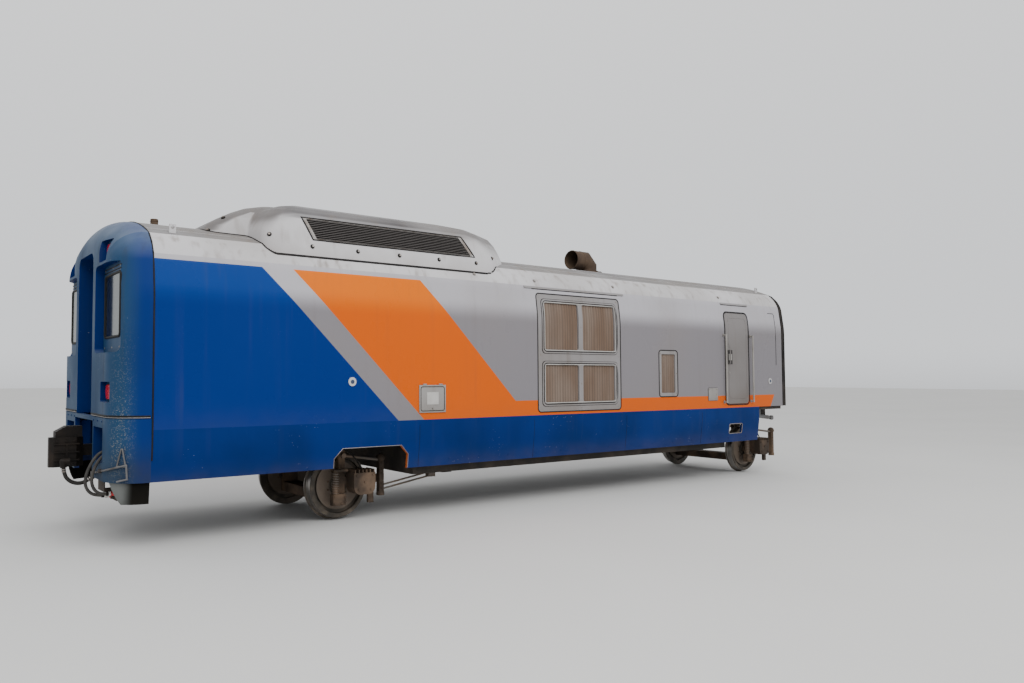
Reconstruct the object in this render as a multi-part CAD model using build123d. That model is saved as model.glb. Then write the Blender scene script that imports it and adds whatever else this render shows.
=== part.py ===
from build123d import *
import math
import os

# Power coach of an articulated train: nose end at -X, gangway end at +X, lengths in millimetres.
# While it is built, X counts from the nose seam, Y to the left and Z up from the rail head.

# Car body across the track: half width, insets of the upper corners and rises between them
BODY_LENGTH = 12530.0
HALF_WIDTH = 1470.0
WALL = 60.0
SKIRT_WALL = 40.0
SILL_Z = 1326.0
FLOOR_THICK = 60.0
TUCK_LOW_Z = 400.0
TUCK_Z = 1100.0
CREASE_Z = 2850.0
TUCK_INSET = 85.0
CANT_INSET = 60.0
EAVE_INSET = 140.0
ROOF_EDGE_INSET = 260.0
CANT_RISE = 460.0
EAVE_RISE = 140.0
ROOF_EDGE_RISE = 120.0
CROWN_RISE = 280.0
CREASE_R = 1500.0
CANT_R = 420.0

# Skirt, with places near the inner end counted back from it
SKIRT_LOW_Z = 680.0
SKIRT_NOSE_Z = 745.0
SKIRT_END_BACK = 820.0
ARCH_X = (2310.0, 3440.0)
ARCH_TOP_Z = 990.0
ARCH_CHAMFER = 120.0
STEP_BACK = (1780.0, 1370.0)
STEP_Z = (840.0, 1020.0)
STEP_CORNER = 20.0

# Nose, with window and lamp places counted in from the side
NOSE_LENGTH = 420.0
NOSE_WALL = 60.0
NOSE_FRONT_WALL = 140.0
NOSE_R = 400.0
APRON_TOP_Z = 1450.0
SEAM_GAP = 6.0
RECESS_HALF = 400.0
RECESS_Z = (1456.0, 3410.0)
RECESS_CORNER = 120.0
RECESS_CHEEK = 50.0
POCKET_DEPTH = 100.0
WINDOW_POCKET_IN = (135.0, 940.0)
WINDOW_POCKET_Z = (2190.0, 3210.0)
WINDOW_IN = (165.0, 860.0)
WINDOW_Z = (2370.0, 3090.0)
WINDOW_CORNER = 70.0
GLASS_THICK = 12.0
LAMP_LENS = (240.0, 160.0)
LAMP_CORNER = 60.0
LAMP_LENGTH = 24.0
COUPLER_GAP_HALF = 500.0
COUPLER_GAP_TOP = 1400.0
SOCKET_POCKET_Y = (540.0, 1010.0)
SOCKET_POCKET_Z = (932.0, 1350.0)
SOCKET_POCKET_DEPTH = 200.0
SOCKET_POCKET_WALL = 12.0
DEFLECTOR_Y = 1140.0
DEFLECTOR_LOW_Z = 505.0
DEFLECTOR_WALL = 15.0
DEFLECTOR_INSET = 25.0
DEFLECTOR_TAPER = 130.0

# Doors
FIT = 0.3
SERVICE_DOOR_BACK = (1890.0, 1150.0)
SERVICE_DOOR_Z = (1390.0, 3120.0)
SERVICE_DOOR_CORNER = 90.0
SERVICE_HINGE_INSET = 400.0
DOOR_GAP = 8.0
DOOR_FREE_GAP = 17.0
DOOR_HANDLE_Z = (2150.0, 2400.0)
DOOR_HANDLE_SIZE = 30.0
END_DOOR_Z = (1360.0, 3460.0)
END_DOOR_CORNER = 60.0
END_HINGE_INSET = 440.0
GANGWAY_DOOR_HALF = 430.0
GANGWAY_DOOR_Z = (1340.0, 3260.0)
GANGWAY_DOOR_THICK = 36.0
GANGWAY_OVERLAP = 30.0
DOOR_TRACK_HEIGHT = 60.0
RUNNER_GAP = 5.0
PIN_R = 9.0
KNUCKLE_R = 17.0
KNUCKLE_LENGTH = 50.0
KNUCKLE_GAP = 1.0
LEAF_PLATE = 10.0
LEAF_LENGTH = 120.0

# Side equipment, counted back from the inner end
RADIATOR_BACK = (6700.0, 4820.0)
RADIATOR_Z = (1370.0, 3200.0)
RADIATOR_CORNER = 70.0
SCREEN_BACK = ((6550.0, 5810.0), (5720.0, 4960.0))
SCREEN_Z = ((1515.0, 2094.0), (2330.0, 3060.0))
SCREEN_THICK = 20.0
SCREEN_DEPTH = 25.0
SCREEN_RIM = 55.0
RIM_PROUD = 8.0
VENT_BACK = (3830.0, 3320.0)
VENT_Z = (1560.0, 2370.0)
VENT_FRAME = 68.0
SLAT_THICK = 7.0
FILLER_X = (3625.0, 4035.0)
FILLER_Z = (1440.0, 1780.0)
FILLER_CORNER = 35.0
FILLER_WELL = 150.0
WELL_WALL = 10.0
FILLER_LIP = 40.0
LID_THICK = 12.0
LID_KNUCKLE_R = 8.5
LID_KNUCKLE_LENGTH = 60.0
LID_KNUCKLE_INSET = 60.0
LID_LUG = 23.0
LID_LUG_GAP = 2.0
FILLER_NECK_R = 60.0
FILLER_NECK_BORE = 45.0
SMALL_HATCH_BACK = (2440.0, 2160.0)
SMALL_HATCH_Z = (1470.0, 1700.0)
SMALL_HATCH_CORNER = 10.0
RAIL_R = 16.0
GRAB_RAIL_Z = (1420.0, 2700.0)
GRAB_RAIL_OFFSET = 60.0
GUTTER_DROP = (40.0, 10.0)
GUTTER_PROUD = 14.0
RADIATOR_GUTTER_MARGIN = (230.0, 140.0)

# Roof equipment, with heights counted from the crown of the roof
FAIRING_WALL = 25.0
FAIRING_FLARE = (90.0, 30.0)
# Columns: corner radii round one half of a level slice of the fairing, each with its greatest share
FAIRING_ROUNDS = ((220.0, 0.45), (50.0, 1.0), (200.0, 0.4), (450.0, 1.0), (260.0, 0.4))
# Columns: rise, front X, snout half width, flank front X, half width, start of the tail X, tail corner X,
# tail half width, rear X
FAIRING_SLICES = (
    (-470.0, 690.0, 850.0, 1390.0, 1345.0, 5060.0, 5690.0, 930.0, 5800.0),
    (-250.0, 740.0, 840.0, 1420.0, 1305.0, 5050.0, 5660.0, 920.0, 5760.0),
    (-100.0, 815.0, 820.0, 1440.0, 1270.0, 5020.0, 5620.0, 895.0, 5725.0),
    (0.0, 900.0, 800.0, 1465.0, 1242.0, 4985.0, 5575.0, 880.0, 5680.0),
    (100.0, 1035.0, 785.0, 1520.0, 1208.0, 4935.0, 5510.0, 865.0, 5630.0),
    (200.0, 1225.0, 755.0, 1610.0, 1150.0, 4850.0, 5430.0, 830.0, 5560.0),
    (280.0, 1410.0, 690.0, 1760.0, 1035.0, 4700.0, 5270.0, 745.0, 5420.0),
    (350.0, 1630.0, 545.0, 1990.0, 815.0, 4450.0, 5020.0, 570.0, 5170.0),
    (410.0, 1930.0, 300.0, 2330.0, 490.0, 4100.0, 4600.0, 300.0, 4720.0),
)
GRILLE_TOP_X = (1940.0, 4550.0)
GRILLE_LOW_X = (2070.0, 4740.0)
GRILLE_RISE = (-175.0, 120.0)
GRILLE_CORNER = 40.0
GRILLE_FRAME = 62.0
GRILLE_RAIL = 14.0
GRILLE_INNER_CORNER = 12.0
GRILLE_DEPTH = 40.0
GRILLE_BACK = 8.0
GRILLE_SLATS = 11
EXHAUST_X = 8540.0
EXHAUST_R = 172.0
EXHAUST_WALL = 8.0
EXHAUST_RISE = 235.0
EXHAUST_BEND = 110.0
EXHAUST_MOUTH = 430.0
EXHAUST_BASE_R = 270.0
BASE_THICK = 20.0
BEACON_X = 410.0
BEACON_R = 50.0
BEACON_RISE = 120.0
EYE_END_GAP = 300.0
EYE_HALF = 40.0
EYE_THICK = 16.0
EYE_HEIGHT = 140.0
EYE_HOLE_R = 22.0
EYE_INSET = 80.0

# Inner end
BELLOWS_RINGS = 3
BELLOWS_RING = 30.0
BELLOWS_FOLD = 22.0
BELLOWS_INSET = 20.0
BELLOWS_WALL = 110.0
END_WALL = 60.0
LINK_REACH = 400.0
LINK_Z = 860.0
LINK_BORE_R = 40.0
LINK_EYE_R = 95.0
LINK_THICK = 110.0
LINK_HALF = 90.0
LINK_ROOT_BACK = 230.0
LINK_ROOT_LENGTH = 120.0

# Track and wheels
BACK_TO_BACK = 1440.0
WHEEL_WIDTH = 135.0
TREAD_R = 440.0
FLANGE_DEPTH = 28.0
FLANGE_WIDTH = 32.0
FLANGE_TOE = 11.0
TREAD_CONE = 4.0
RIM = 65.0
WEB = 30.0
HUB_R = 120.0
HUB_INSET = 10.0
BRAKE_DISC_R = 330.0
BRAKE_DISC_THICK = 24.0
STUB_R = 75.0
FRONT_AXLE_X = 2700.0
REAR_AXLE_BACK = 370.0

# Running gear
FORK_PLATE = 60.0
FORK_GAP = 20.0
FORK_HALF = 120.0
PILLAR_HALF = 48.0
FORK_TOP_Z = 1010.0
FORK_CAP = 60.0
FORK_LOW_Z = 190.0
TIE_HEIGHT = 140.0
AIR_SPRING_R = 170.0
AIR_SPRING_WAIST = 25.0
AIR_SPRING_FOLDS = 2
SEAT_X = (-175.0, 15.0)
SEAT_DEPTH = 95.0
SEAT_Z = (195.0, 345.0)
COIL_X = -125.0
COIL_R = 42.0
COIL_TOP_Z = 640.0
COIL_CAP = 30.0
BOX_X = (75.0, 410.0)
BOX_DEPTH = 210.0
BOX_Z = (330.0, 620.0)
BOX_FIN_HEIGHT = 45.0
BOX_FIN_THICK = 14.0
BOX_FINS = 6
BOX_ROUND = 110.0
HANGER_X = (345.0, 430.0)
HANGER_Z = 200.0
HANGER_THICK = 40.0
CARRIER_Z = (450.0, 560.0)
ARM_X = (590.0, 760.0)
ARM_HALF = 36.0
ARM_Z = (330.0, 790.0)
ARM_OFFSET = 45.0
KNOB_R = 62.0
BOOT_R = 55.0
ROD_R = 20.0
UPPER_ROD_Z = (850.0, 760.0)
LOWER_ROD_Z = (385.0, 514.0)
LOWER_ROD_SPACING = 56.0
LOWER_ROD_REACH = 1450.0
LOWER_ROD_R = 13.0
LOWER_BRACKET_Z = 470.0
ROD_END_R = 34.0
ROD_BRACKET = (60.0, 40.0)
DAMPER_R = 40.0
DAMPER_BACK = (350.0, -130.0)
DAMPER_Y = 1150.0
DAMPER_Z = 1120.0
DAMPER_BRACKET = 70.0
DAMPER_BAR_R = 18.0
DAMPER_BAR = 120.0
DAMPER_DROP = 50.0
DAMPER_EYE_R = 45.0
DAMPER_EYE = 50.0

# Underframe
SILL_BEAM_Y = (980.0, 1100.0)
SILL_BEAM_DEPTH = 180.0
BELLY_WALL = 8.0
CROSS_BEAM_FIRST = 470.0
CROSS_BEAM_END_GAP = 130.0
CROSS_BEAMS = 8
CROSS_BEAM_LENGTH = 100.0
BELLY_START = 3650.0
BELLY_END_BACK = 1630.0
BELLY_Z = 560.0
BELLY_HALF = 1250.0
ENGINE_X = (5200.0, 8100.0)
ENGINE_HALF = 620.0
ENGINE_HEIGHT = 1450.0
JACK_PAD_START = 650.0
JACK_PAD_Y = 1100.0
JACK_PAD_SIZE = 160.0
JACK_PAD_THICK = 20.0

# Coupler: places in X counted back from its tip, in Y from its axis
COUPLER_Z = 1020.0
COUPLER_REACH = 840.0
# Columns: X from the tip, Y
COUPLER_HEAD = (
    (390.0, -150.0),
    (300.0, -230.0),
    (45.0, -230.0),
    (0.0, -200.0),
    (0.0, -120.0),
    (150.0, -25.0),
    (215.0, -25.0),
    (215.0, 60.0),
    (150.0, 115.0),
    (85.0, 150.0),
    (85.0, 215.0),
    (240.0, 230.0),
    (390.0, 110.0),
)
COUPLER_HALF_HEIGHT = 175.0
SMALL_TOOTH_HALF_HEIGHT = 125.0
TOOTH_SPLIT_Y = 40.0
COUPLER_RIBS = (-95.0, 0.0, 95.0)
RIB_THICK = 16.0
RIB_PROUD = 18.0
RIB_X = (50.0, 330.0)
LOCK_X = (165.0, 216.0)
LOCK_Y = (62.0, 112.0)
LOCK_HALF_HEIGHT = 80.0
GUARD_X = (70.0, 370.0)
GUARD_Y = (-200.0, -40.0)
GUARD_HEIGHT = 130.0
GUARD_SLOPE = 120.0
SHANK_HALF = 65.0
SHANK_END_X = 330.0
DRAFT_BOX_X = (150.0, 450.0)
DRAFT_BOX_HALF = 200.0
DRAFT_BOX_GAP = 60.0
HEADSTOCK_X = (-160.0, -110.0)
HEADSTOCK_HALF = 640.0
HEADSTOCK_Z = (800.0, 1200.0)
HEADSTOCK_SHELF = 50.0
SHANK_GAP_Y = 215.0
SHANK_GAP_UP = 105.0
SHANK_GAP_DOWN = 85.0
CARRIER_X = (-100.0, -20.0)
CARRIER_HALF = 250.0
CARRIER_LEG = 40.0
CARRIER_DEPTH = 60.0

# Uncoupling lever and the loop handle beside it
LEVER_R = 11.0
LEVER_STAND = 14.0
LEVER_Y = (560.0, 1040.0)
LEVER_Z = (790.0, 866.0)
# Columns: angle round the nose's corner in degrees, height, stand-off from its surface
LEVER_END = (
    (14.0, 878.0, 26.0),
    (40.0, 922.0, 26.0),
    (56.0, 950.0, 26.0),
    (58.0, 795.0, 26.0),
    (43.0, 768.0, 38.0),
)
LEVER_BRACKET_INSET = 60.0
HANDLE_R = 9.0
# Columns: angle, height, stand-off
HANDLE_POINTS = (
    (47.0, 1125.0, 22.0),
    (41.0, 935.0, 22.0),
    (55.0, 935.0, 22.0),
    (49.0, 1125.0, 22.0),
)
HANDLE_FOOT = (48.0, 1118.0)

# Jumper cables, brake hose and their fittings: points of each route
CABLE_DIAMETER = 36.0
CABLE_A_ROUTE = (
    (-330.0, -830.0, 1075.0),
    (-400.0, -828.0, 1052.0),
    (-463.0, -825.0, 985.0),
    (-515.0, -822.0, 895.0),
    (-552.0, -820.0, 795.0),
    (-560.0, -820.0, 695.0),
    (-520.0, -822.0, 610.0),
    (-440.0, -826.0, 565.0),
    (-350.0, -830.0, 560.0),
)
CABLE_B_ROUTE = (
    (-330.0, -905.0, 1045.0),
    (-393.0, -903.0, 1017.0),
    (-445.0, -900.0, 950.0),
    (-486.0, -897.0, 865.0),
    (-506.0, -895.0, 775.0),
    (-500.0, -895.0, 690.0),
    (-458.0, -897.0, 618.0),
    (-390.0, -900.0, 585.0),
    (-320.0, -905.0, 585.0),
)
PLUG_R = 27.0
PLUG_LENGTH = 70.0
SOCKET_R = 42.0
SOCKET_LENGTH = 60.0
PARKING_BOX_X = (-250.0, -130.0)
PARKING_BOX_Y = (770.0, 970.0)
PARKING_BOX_Z = (505.0, 640.0)
PARKING_PLATE = 12.0
PARKING_PLATE_Y = (560.0, 860.0)
PARKING_PLATE_Z = (600.0, 790.0)
PARKING_ARM = 80.0
PARKING_ARM_Z = (600.0, 640.0)
HOSE_DIAMETER = 46.0
HOSE_ROUTE = (
    (-385.0, -330.0, 715.0),
    (-458.0, -334.0, 662.0),
    (-552.0, -340.0, 652.0),
    (-639.0, -346.0, 691.0),
    (-695.0, -352.0, 768.0),
    (-704.0, -356.0, 853.0),
)
COCK_R = 34.0
COCK_REACH = 150.0
COCK_LEVER = 90.0
HOSE_HEAD_R = 38.0
HOSE_HEAD_LENGTH = 70.0
HOOK_HALF = 15.0

SIDES = (("right", -1), ("left", 1))
CANT_Z = CREASE_Z + CANT_RISE
EAVE_Z = CANT_Z + EAVE_RISE
ROOF_EDGE_Z = EAVE_Z + ROOF_EDGE_RISE
ROOF_Z = ROOF_EDGE_Z + CROWN_RISE
ROOF_EDGE_Y = HALF_WIDTH - ROOF_EDGE_INSET
FLOOR_Z = SILL_Z - FLOOR_THICK
LINK_X = BODY_LENGTH + LINK_REACH
COUPLER_TIP_X = -COUPLER_REACH
REAR_END_X = LINK_X + LINK_EYE_R
ORIGIN_X = (COUPLER_TIP_X + REAR_END_X) / 2
AXLE_X = (FRONT_AXLE_X, BODY_LENGTH - REAR_AXLE_BACK)


def from_end(distances):
    """X limits from two distances counted back from the inner end."""
    return (BODY_LENGTH - distances[0], BODY_LENGTH - distances[1])


def from_side(distances, side):
    """Y limits from two distances counted in from one side of the car."""
    return tuple(sorted(side * (HALF_WIDTH - distance) for distance in distances))


def block(x, y, z):
    """Box from its two limits on each axis."""
    middle = ((x[0] + x[1]) / 2, (y[0] + y[1]) / 2, (z[0] + z[1]) / 2)
    return Pos(*middle) * Box(abs(x[1] - x[0]), abs(y[1] - y[0]), abs(z[1] - z[0]))


def rod(start, end, radius):
    """Round bar between two points."""
    run = Vector(*end) - Vector(*start)
    bar = Cylinder(radius, run.length, align=(Align.CENTER, Align.CENTER, Align.MIN))
    return Plane(origin=start, z_dir=run) * bar


def bent_rod(points, radius):
    """Round bar through several points, with a ball at each bend."""
    bar = rod(points[0], points[1], radius)
    for start, end in zip(points[1:], points[2:]):
        bar += Pos(*start) * Sphere(radius)
        bar += rod(start, end, radius)
    return bar


def cord_tube(route, diameter):
    """Cord of straight runs and tangent arcs through its route, printed with its radii."""
    points = [Vector(*point) for point in route]
    radii = []
    for before, at, after in zip(points, points[1:], points[2:]):
        shorter = min((at - before).length, (after - at).length)
        half_turn = (at - before).get_angle(after - at) / 2
        radii.append(0.45 * shorter / math.tan(math.radians(half_turn)))
    path = FilletPolyline(*points, radius=radii)
    print("cord radii", [round(radius) for radius in radii], "length", round(path.length))
    section = Plane(origin=points[0], z_dir=points[1] - points[0]) * Circle(diameter / 2)
    tube = sweep(section, path=path)
    print("volume ratio", round(tube.volume / (section.area * path.length), 4))
    return tube


def window(across, z, corner, depth, face="side"):
    """Prism with rounded corners that cuts a side wall (across is X) or an end wall (across is Y)."""
    shape = RectangleRounded(across[1] - across[0], z[1] - z[0], corner)
    middle = (across[0] + across[1]) / 2
    height = (z[0] + z[1]) / 2
    if face == "side":
        plane = Plane(origin=(middle, depth[0], height), x_dir=(1, 0, 0), z_dir=(0, 1, 0))
    else:
        plane = Plane(origin=(depth[0], middle, height), x_dir=(0, 1, 0), z_dir=(1, 0, 0))
    return extrude(plane * shape, amount=depth[1] - depth[0])


def inset(limits, amount):
    """Limits drawn in by an amount at both ends."""
    return (limits[0] + amount, limits[1] - amount)


def mirrored(shape):
    """The same piece on the other side of the car."""
    return mirror(shape, about=Plane.XZ)


def both(shape):
    """A piece of the right side with its mirror image."""
    return [shape, mirrored(shape)]


def save(node, *shapes):
    """Writes one node, moved so that the origin lies under the middle of the car."""
    solids = [solid for shape in shapes for solid in shape.solids()]
    placed = [Pos(-ORIGIN_X, 0, FLANGE_DEPTH) * solid for solid in solids]
    export_step(Compound(placed) if len(placed) > 1 else placed[0], f"parts/{node}.step")


def section_face(shrink=0.0):
    """Outline of the car body across the track, drawn in by an amount."""
    rise = (
        (HALF_WIDTH - TUCK_INSET, TUCK_LOW_Z),
        (HALF_WIDTH, TUCK_Z),
        (HALF_WIDTH, CREASE_Z),
        (HALF_WIDTH - CANT_INSET, CANT_Z),
        (HALF_WIDTH - EAVE_INSET, EAVE_Z),
        (ROOF_EDGE_Y, ROOF_EDGE_Z),
    )
    left = FilletPolyline(*rise, radius=(CREASE_R, CREASE_R, CANT_R, CANT_R))
    right = mirror(left, about=Plane.YZ)
    crown = ThreePointArc(rise[-1], (0, ROOF_Z), (-rise[-1][0], rise[-1][1]))
    base = Line(rise[0], (-rise[0][0], rise[0][1]))
    face = make_face([*left.edges(), *right.edges(), crown, base])
    return offset(face, amount=-shrink, kind=Kind.INTERSECTION) if shrink else face


def prism(x, shrink=0.0):
    """Body section drawn out along the car."""
    return extrude(Plane.YZ.offset(x[0]) * section_face(shrink), amount=x[1] - x[0])


def nose_form(shrink, front_wall):
    """Nose with its front edge rounded all round, drawn in by an amount."""
    form = prism((-NOSE_LENGTH + shrink, 0), shrink)
    front_edges = form.faces().sort_by(Axis.X)[0].edges()
    rim = [edge for edge in front_edges if edge.center().Z > TUCK_LOW_Z + shrink + 1]
    form = fillet(rim, radius=NOSE_R - shrink)
    if front_wall > shrink:
        form -= block((-NOSE_LENGTH, -NOSE_LENGTH + front_wall), (-HALF_WIDTH, HALF_WIDTH), (0, ROOF_Z))
    return form


def corner_point(angle, z, stand):
    """Point off the right corner of the nose, by its angle from straight ahead."""
    low = max(0.0, TUCK_Z - z) / (TUCK_Z - TUCK_LOW_Z)
    half = HALF_WIDTH - TUCK_INSET * low
    reach = NOSE_R + stand
    turn = math.radians(angle)
    return (NOSE_R - NOSE_LENGTH - reach * math.cos(turn), NOSE_R - half - reach * math.sin(turn), z)


def hinge(axis_x, axis_y, z, leaf_side, frame_side):
    """Butt hinge with a pin: returns the frame's knuckles and pin, and the leaf's knuckle.

    leaf_side and frame_side are the blocks that join each knuckle to its own piece.
    """
    low = z - KNUCKLE_LENGTH * 1.5 - KNUCKLE_GAP
    high = z + KNUCKLE_LENGTH * 1.5 + KNUCKLE_GAP
    pin = rod((axis_x, axis_y, low), (axis_x, axis_y, high), PIN_R)
    fixed = pin
    for start in (low, high - KNUCKLE_LENGTH):
        end = start + KNUCKLE_LENGTH
        fixed += rod((axis_x, axis_y, start), (axis_x, axis_y, end), KNUCKLE_R)
        fixed += block(frame_side[0], frame_side[1], (start, end))
    start = z - KNUCKLE_LENGTH / 2
    end = z + KNUCKLE_LENGTH / 2
    moving = rod((axis_x, axis_y, start), (axis_x, axis_y, end), KNUCKLE_R)
    moving += block(leaf_side[0], leaf_side[1], (start, end))
    moving -= rod((axis_x, axis_y, start), (axis_x, axis_y, end), PIN_R + FIT)
    return fixed, moving


os.makedirs("parts", exist_ok=True)

# Body shell: walls from the sill to the cant rail, roof above them
radiator_x = from_end(RADIATOR_BACK)
vent_x = from_end(VENT_BACK)
service_x = from_end(SERVICE_DOOR_BACK)
shell = prism((0, BODY_LENGTH)) - prism((0, BODY_LENGTH), WALL)
side_zone = block((0, BODY_LENGTH), (-HALF_WIDTH, -HALF_WIDTH / 2), (SILL_Z, CANT_Z))
plain_wall = shell & side_zone
through = (-HALF_WIDTH - WALL, -HALF_WIDTH + 4 * WALL)
side_wall = plain_wall - window(radiator_x, RADIATOR_Z, RADIATOR_CORNER, through)
side_wall -= window(vent_x, VENT_Z, RADIATOR_CORNER / 2, through)
side_wall -= window(FILLER_X, FILLER_Z, FILLER_CORNER, through)
side_wall -= window(service_x, SERVICE_DOOR_Z, SERVICE_DOOR_CORNER, through)
roof = shell & block((0, BODY_LENGTH), (-HALF_WIDTH, HALF_WIDTH), (CANT_Z, ROOF_Z))
save("roof", roof)

# Service door: a piece of the wall section that swings inwards on two pin hinges at its inner-end side
door_x = (service_x[0] + DOOR_FREE_GAP, service_x[1] - DOOR_GAP)
door_z = inset(SERVICE_DOOR_Z, DOOR_GAP)
service_door = plain_wall & window(door_x, door_z, SERVICE_DOOR_CORNER - DOOR_GAP, through)
wall_inner_y = -(HALF_WIDTH - WALL)
door_axis_y = wall_inner_y + CANT_INSET + KNUCKLE_R
door_axis_x = service_x[1]
strap_y = (wall_inner_y - LEAF_PLATE, door_axis_y)
leaf_strap = ((door_axis_x - LEAF_LENGTH, door_axis_x - 2 * KNUCKLE_R), strap_y)
leaf_arm = ((door_axis_x - LEAF_LENGTH, door_axis_x), (door_axis_y - LEAF_PLATE, door_axis_y + LEAF_PLATE))
frame_arm = ((door_axis_x, door_axis_x + LEAF_LENGTH), strap_y)
for height in inset(SERVICE_DOOR_Z, SERVICE_HINGE_INSET):
    fixed, moving = hinge(door_axis_x, door_axis_y, height, leaf_arm, frame_arm)
    block_z = (height - KNUCKLE_LENGTH / 2, height + KNUCKLE_LENGTH / 2)
    service_door += moving + block(leaf_strap[0], leaf_strap[1], block_z)
    side_wall += fixed
grip_x = door_x[0] + SERVICE_DOOR_CORNER
grip_y = -HALF_WIDTH - DOOR_HANDLE_SIZE
grip = rod((grip_x, grip_y, DOOR_HANDLE_Z[0]), (grip_x, grip_y, DOOR_HANDLE_Z[1]), RAIL_R / 2)
for height in inset(DOOR_HANDLE_Z, RAIL_R):
    grip += rod((grip_x, grip_y, height), (grip_x, -HALF_WIDTH + LEAF_PLATE, height), RAIL_R / 3)
service_door += grip
save("service_door_right", service_door)
save("service_door_left", mirrored(service_door))

# Filler: a well in the wall with a filler neck, closed by a lid hinged at its top edge
well_y = (-HALF_WIDTH, -HALF_WIDTH + FILLER_WELL)
well = window(inset(FILLER_X, FIT), inset(FILLER_Z, FIT), FILLER_CORNER, well_y)
well_floor_y = well_y[1] - WELL_WALL
well -= window(inset(FILLER_X, WELL_WALL), inset(FILLER_Z, WELL_WALL), FILLER_CORNER - WELL_WALL,
               (well_y[0], well_floor_y))
filler_x = (FILLER_X[0] + FILLER_X[1]) / 2
filler_z = (FILLER_Z[0] + FILLER_Z[1]) / 2
neck_end = -HALF_WIDTH + WALL
neck = rod((filler_x, well_floor_y, filler_z), (filler_x, neck_end, filler_z), FILLER_NECK_R)
neck_bore = rod((filler_x, well_floor_y, filler_z), (filler_x, neck_end, filler_z), FILLER_NECK_BORE)
save("filler_wells", *both(well), *both(neck - neck_bore))
lid_y = -HALF_WIDTH - FIT
lid_x = inset(FILLER_X, -FILLER_LIP / 2)
lid_z = inset(FILLER_Z, -FILLER_LIP / 2)
lid_axis_y = lid_y - LID_THICK
lid_axis_z = lid_z[1] + LID_KNUCKLE_R
lid = block(lid_x, (lid_y - LID_THICK, lid_y), lid_z)
for start in (lid_x[0] + LID_KNUCKLE_INSET, lid_x[1] - LID_KNUCKLE_INSET - LID_KNUCKLE_LENGTH):
    end = start + LID_KNUCKLE_LENGTH
    tongue = block((start, end), (lid_y - LID_THICK, lid_y - FIT), (lid_z[1] - 1, lid_axis_z))
    lid += rod((start, lid_axis_y, lid_axis_z), (end, lid_axis_y, lid_axis_z), LID_KNUCKLE_R) + tongue
    pin_x = (start - LID_LUG - LID_LUG_GAP, end + LID_LUG + LID_LUG_GAP)
    pin_ends = ((pin_x[0], lid_axis_y, lid_axis_z), (pin_x[1], lid_axis_y, lid_axis_z))
    lid -= rod(*pin_ends, LID_KNUCKLE_R / 2 + FIT)
    side_wall += rod(*pin_ends, LID_KNUCKLE_R / 2)
    for edge in (pin_x[0], pin_x[1] - LID_LUG):
        lug_y = (lid_axis_y - LID_KNUCKLE_R / 2, -HALF_WIDTH + LEAF_PLATE)
        lug_z = (lid_axis_z - LID_KNUCKLE_R / 2, lid_axis_z + LID_KNUCKLE_R / 2)
        side_wall += block((edge, edge + LID_LUG), lug_y, lug_z)
save("filler_lid_right", lid)
save("filler_lid_left", mirrored(lid))
save("side_wall_right", side_wall)
save("side_wall_left", mirrored(side_wall))

# Radiator openings: a panel in the wall with raised rims, and pleated screens set back in them
radiator = plain_wall & window(radiator_x, RADIATOR_Z, RADIATOR_CORNER, through)
rim_sheet = prism(radiator_x, -RIM_PROUD) - prism(radiator_x)
screen_sheet = prism(radiator_x, SCREEN_DEPTH) - prism(radiator_x, SCREEN_DEPTH + SCREEN_THICK)
screen_span = (from_end(SCREEN_BACK[0])[0], from_end(SCREEN_BACK[1])[1])
screens = []
for screen_z in SCREEN_Z:
    rim = window(inset(screen_span, -SCREEN_RIM), inset(screen_z, -SCREEN_RIM), RADIATOR_CORNER, through)
    radiator += rim_sheet & rim
    for screen_back in SCREEN_BACK:
        screen_x = from_end(screen_back)
        radiator -= window(screen_x, screen_z, RADIATOR_CORNER / 2, through)
        screens.append(screen_sheet & window(screen_x, screen_z, RADIATOR_CORNER / 2, through))
save("radiator_frames", *both(radiator))
save("radiator_screens", *[s for screen in screens for s in both(screen)])

# Side vents beside the radiators
vent = plain_wall & window(vent_x, VENT_Z, RADIATOR_CORNER / 2, through)
vent_core = window(inset(vent_x, VENT_FRAME), inset(VENT_Z, VENT_FRAME), RADIATOR_CORNER / 4, through)
vent_screen_y = (-HALF_WIDTH + SCREEN_DEPTH, -HALF_WIDTH + SCREEN_DEPTH + SCREEN_THICK)
vent_screen = vent_core & block(vent_x, vent_screen_y, VENT_Z)
save("side_vents", *both(vent - vent_core + vent_screen))

# Small outside pieces: hatch boxes, grab rails beside the doors and rain gutters over them
hatch_y = (-HALF_WIDTH - RIM_PROUD, -HALF_WIDTH)
small_hatch = window(from_end(SMALL_HATCH_BACK), SMALL_HATCH_Z, SMALL_HATCH_CORNER, hatch_y)
save("small_hatches", *both(small_hatch))
rails = []
rail_y = -HALF_WIDTH - GRAB_RAIL_OFFSET
for rail_x in inset(service_x, -GRAB_RAIL_OFFSET):
    rail = rod((rail_x, rail_y, GRAB_RAIL_Z[0]), (rail_x, rail_y, GRAB_RAIL_Z[1]), RAIL_R)
    for rail_z in inset(GRAB_RAIL_Z, RAIL_R):
        rail += rod((rail_x, rail_y, rail_z), (rail_x, -HALF_WIDTH, rail_z), RAIL_R)
    rails += both(rail)
save("grab_rails", *rails)
gutters = []
gutter_z = (CANT_Z - GUTTER_DROP[0], CANT_Z - GUTTER_DROP[1])
radiator_gutter = (radiator_x[0] - RADIATOR_GUTTER_MARGIN[0], radiator_x[1] + RADIATOR_GUTTER_MARGIN[1])
for gutter_x in (radiator_gutter, inset(service_x, -GRAB_RAIL_OFFSET)):
    gutter = prism(gutter_x, -GUTTER_PROUD) - prism(gutter_x)
    gutters += both(gutter & block(gutter_x, (-HALF_WIDTH - GUTTER_PROUD, -HALF_WIDTH / 2), gutter_z))
save("rain_gutters", *gutters)

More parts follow.
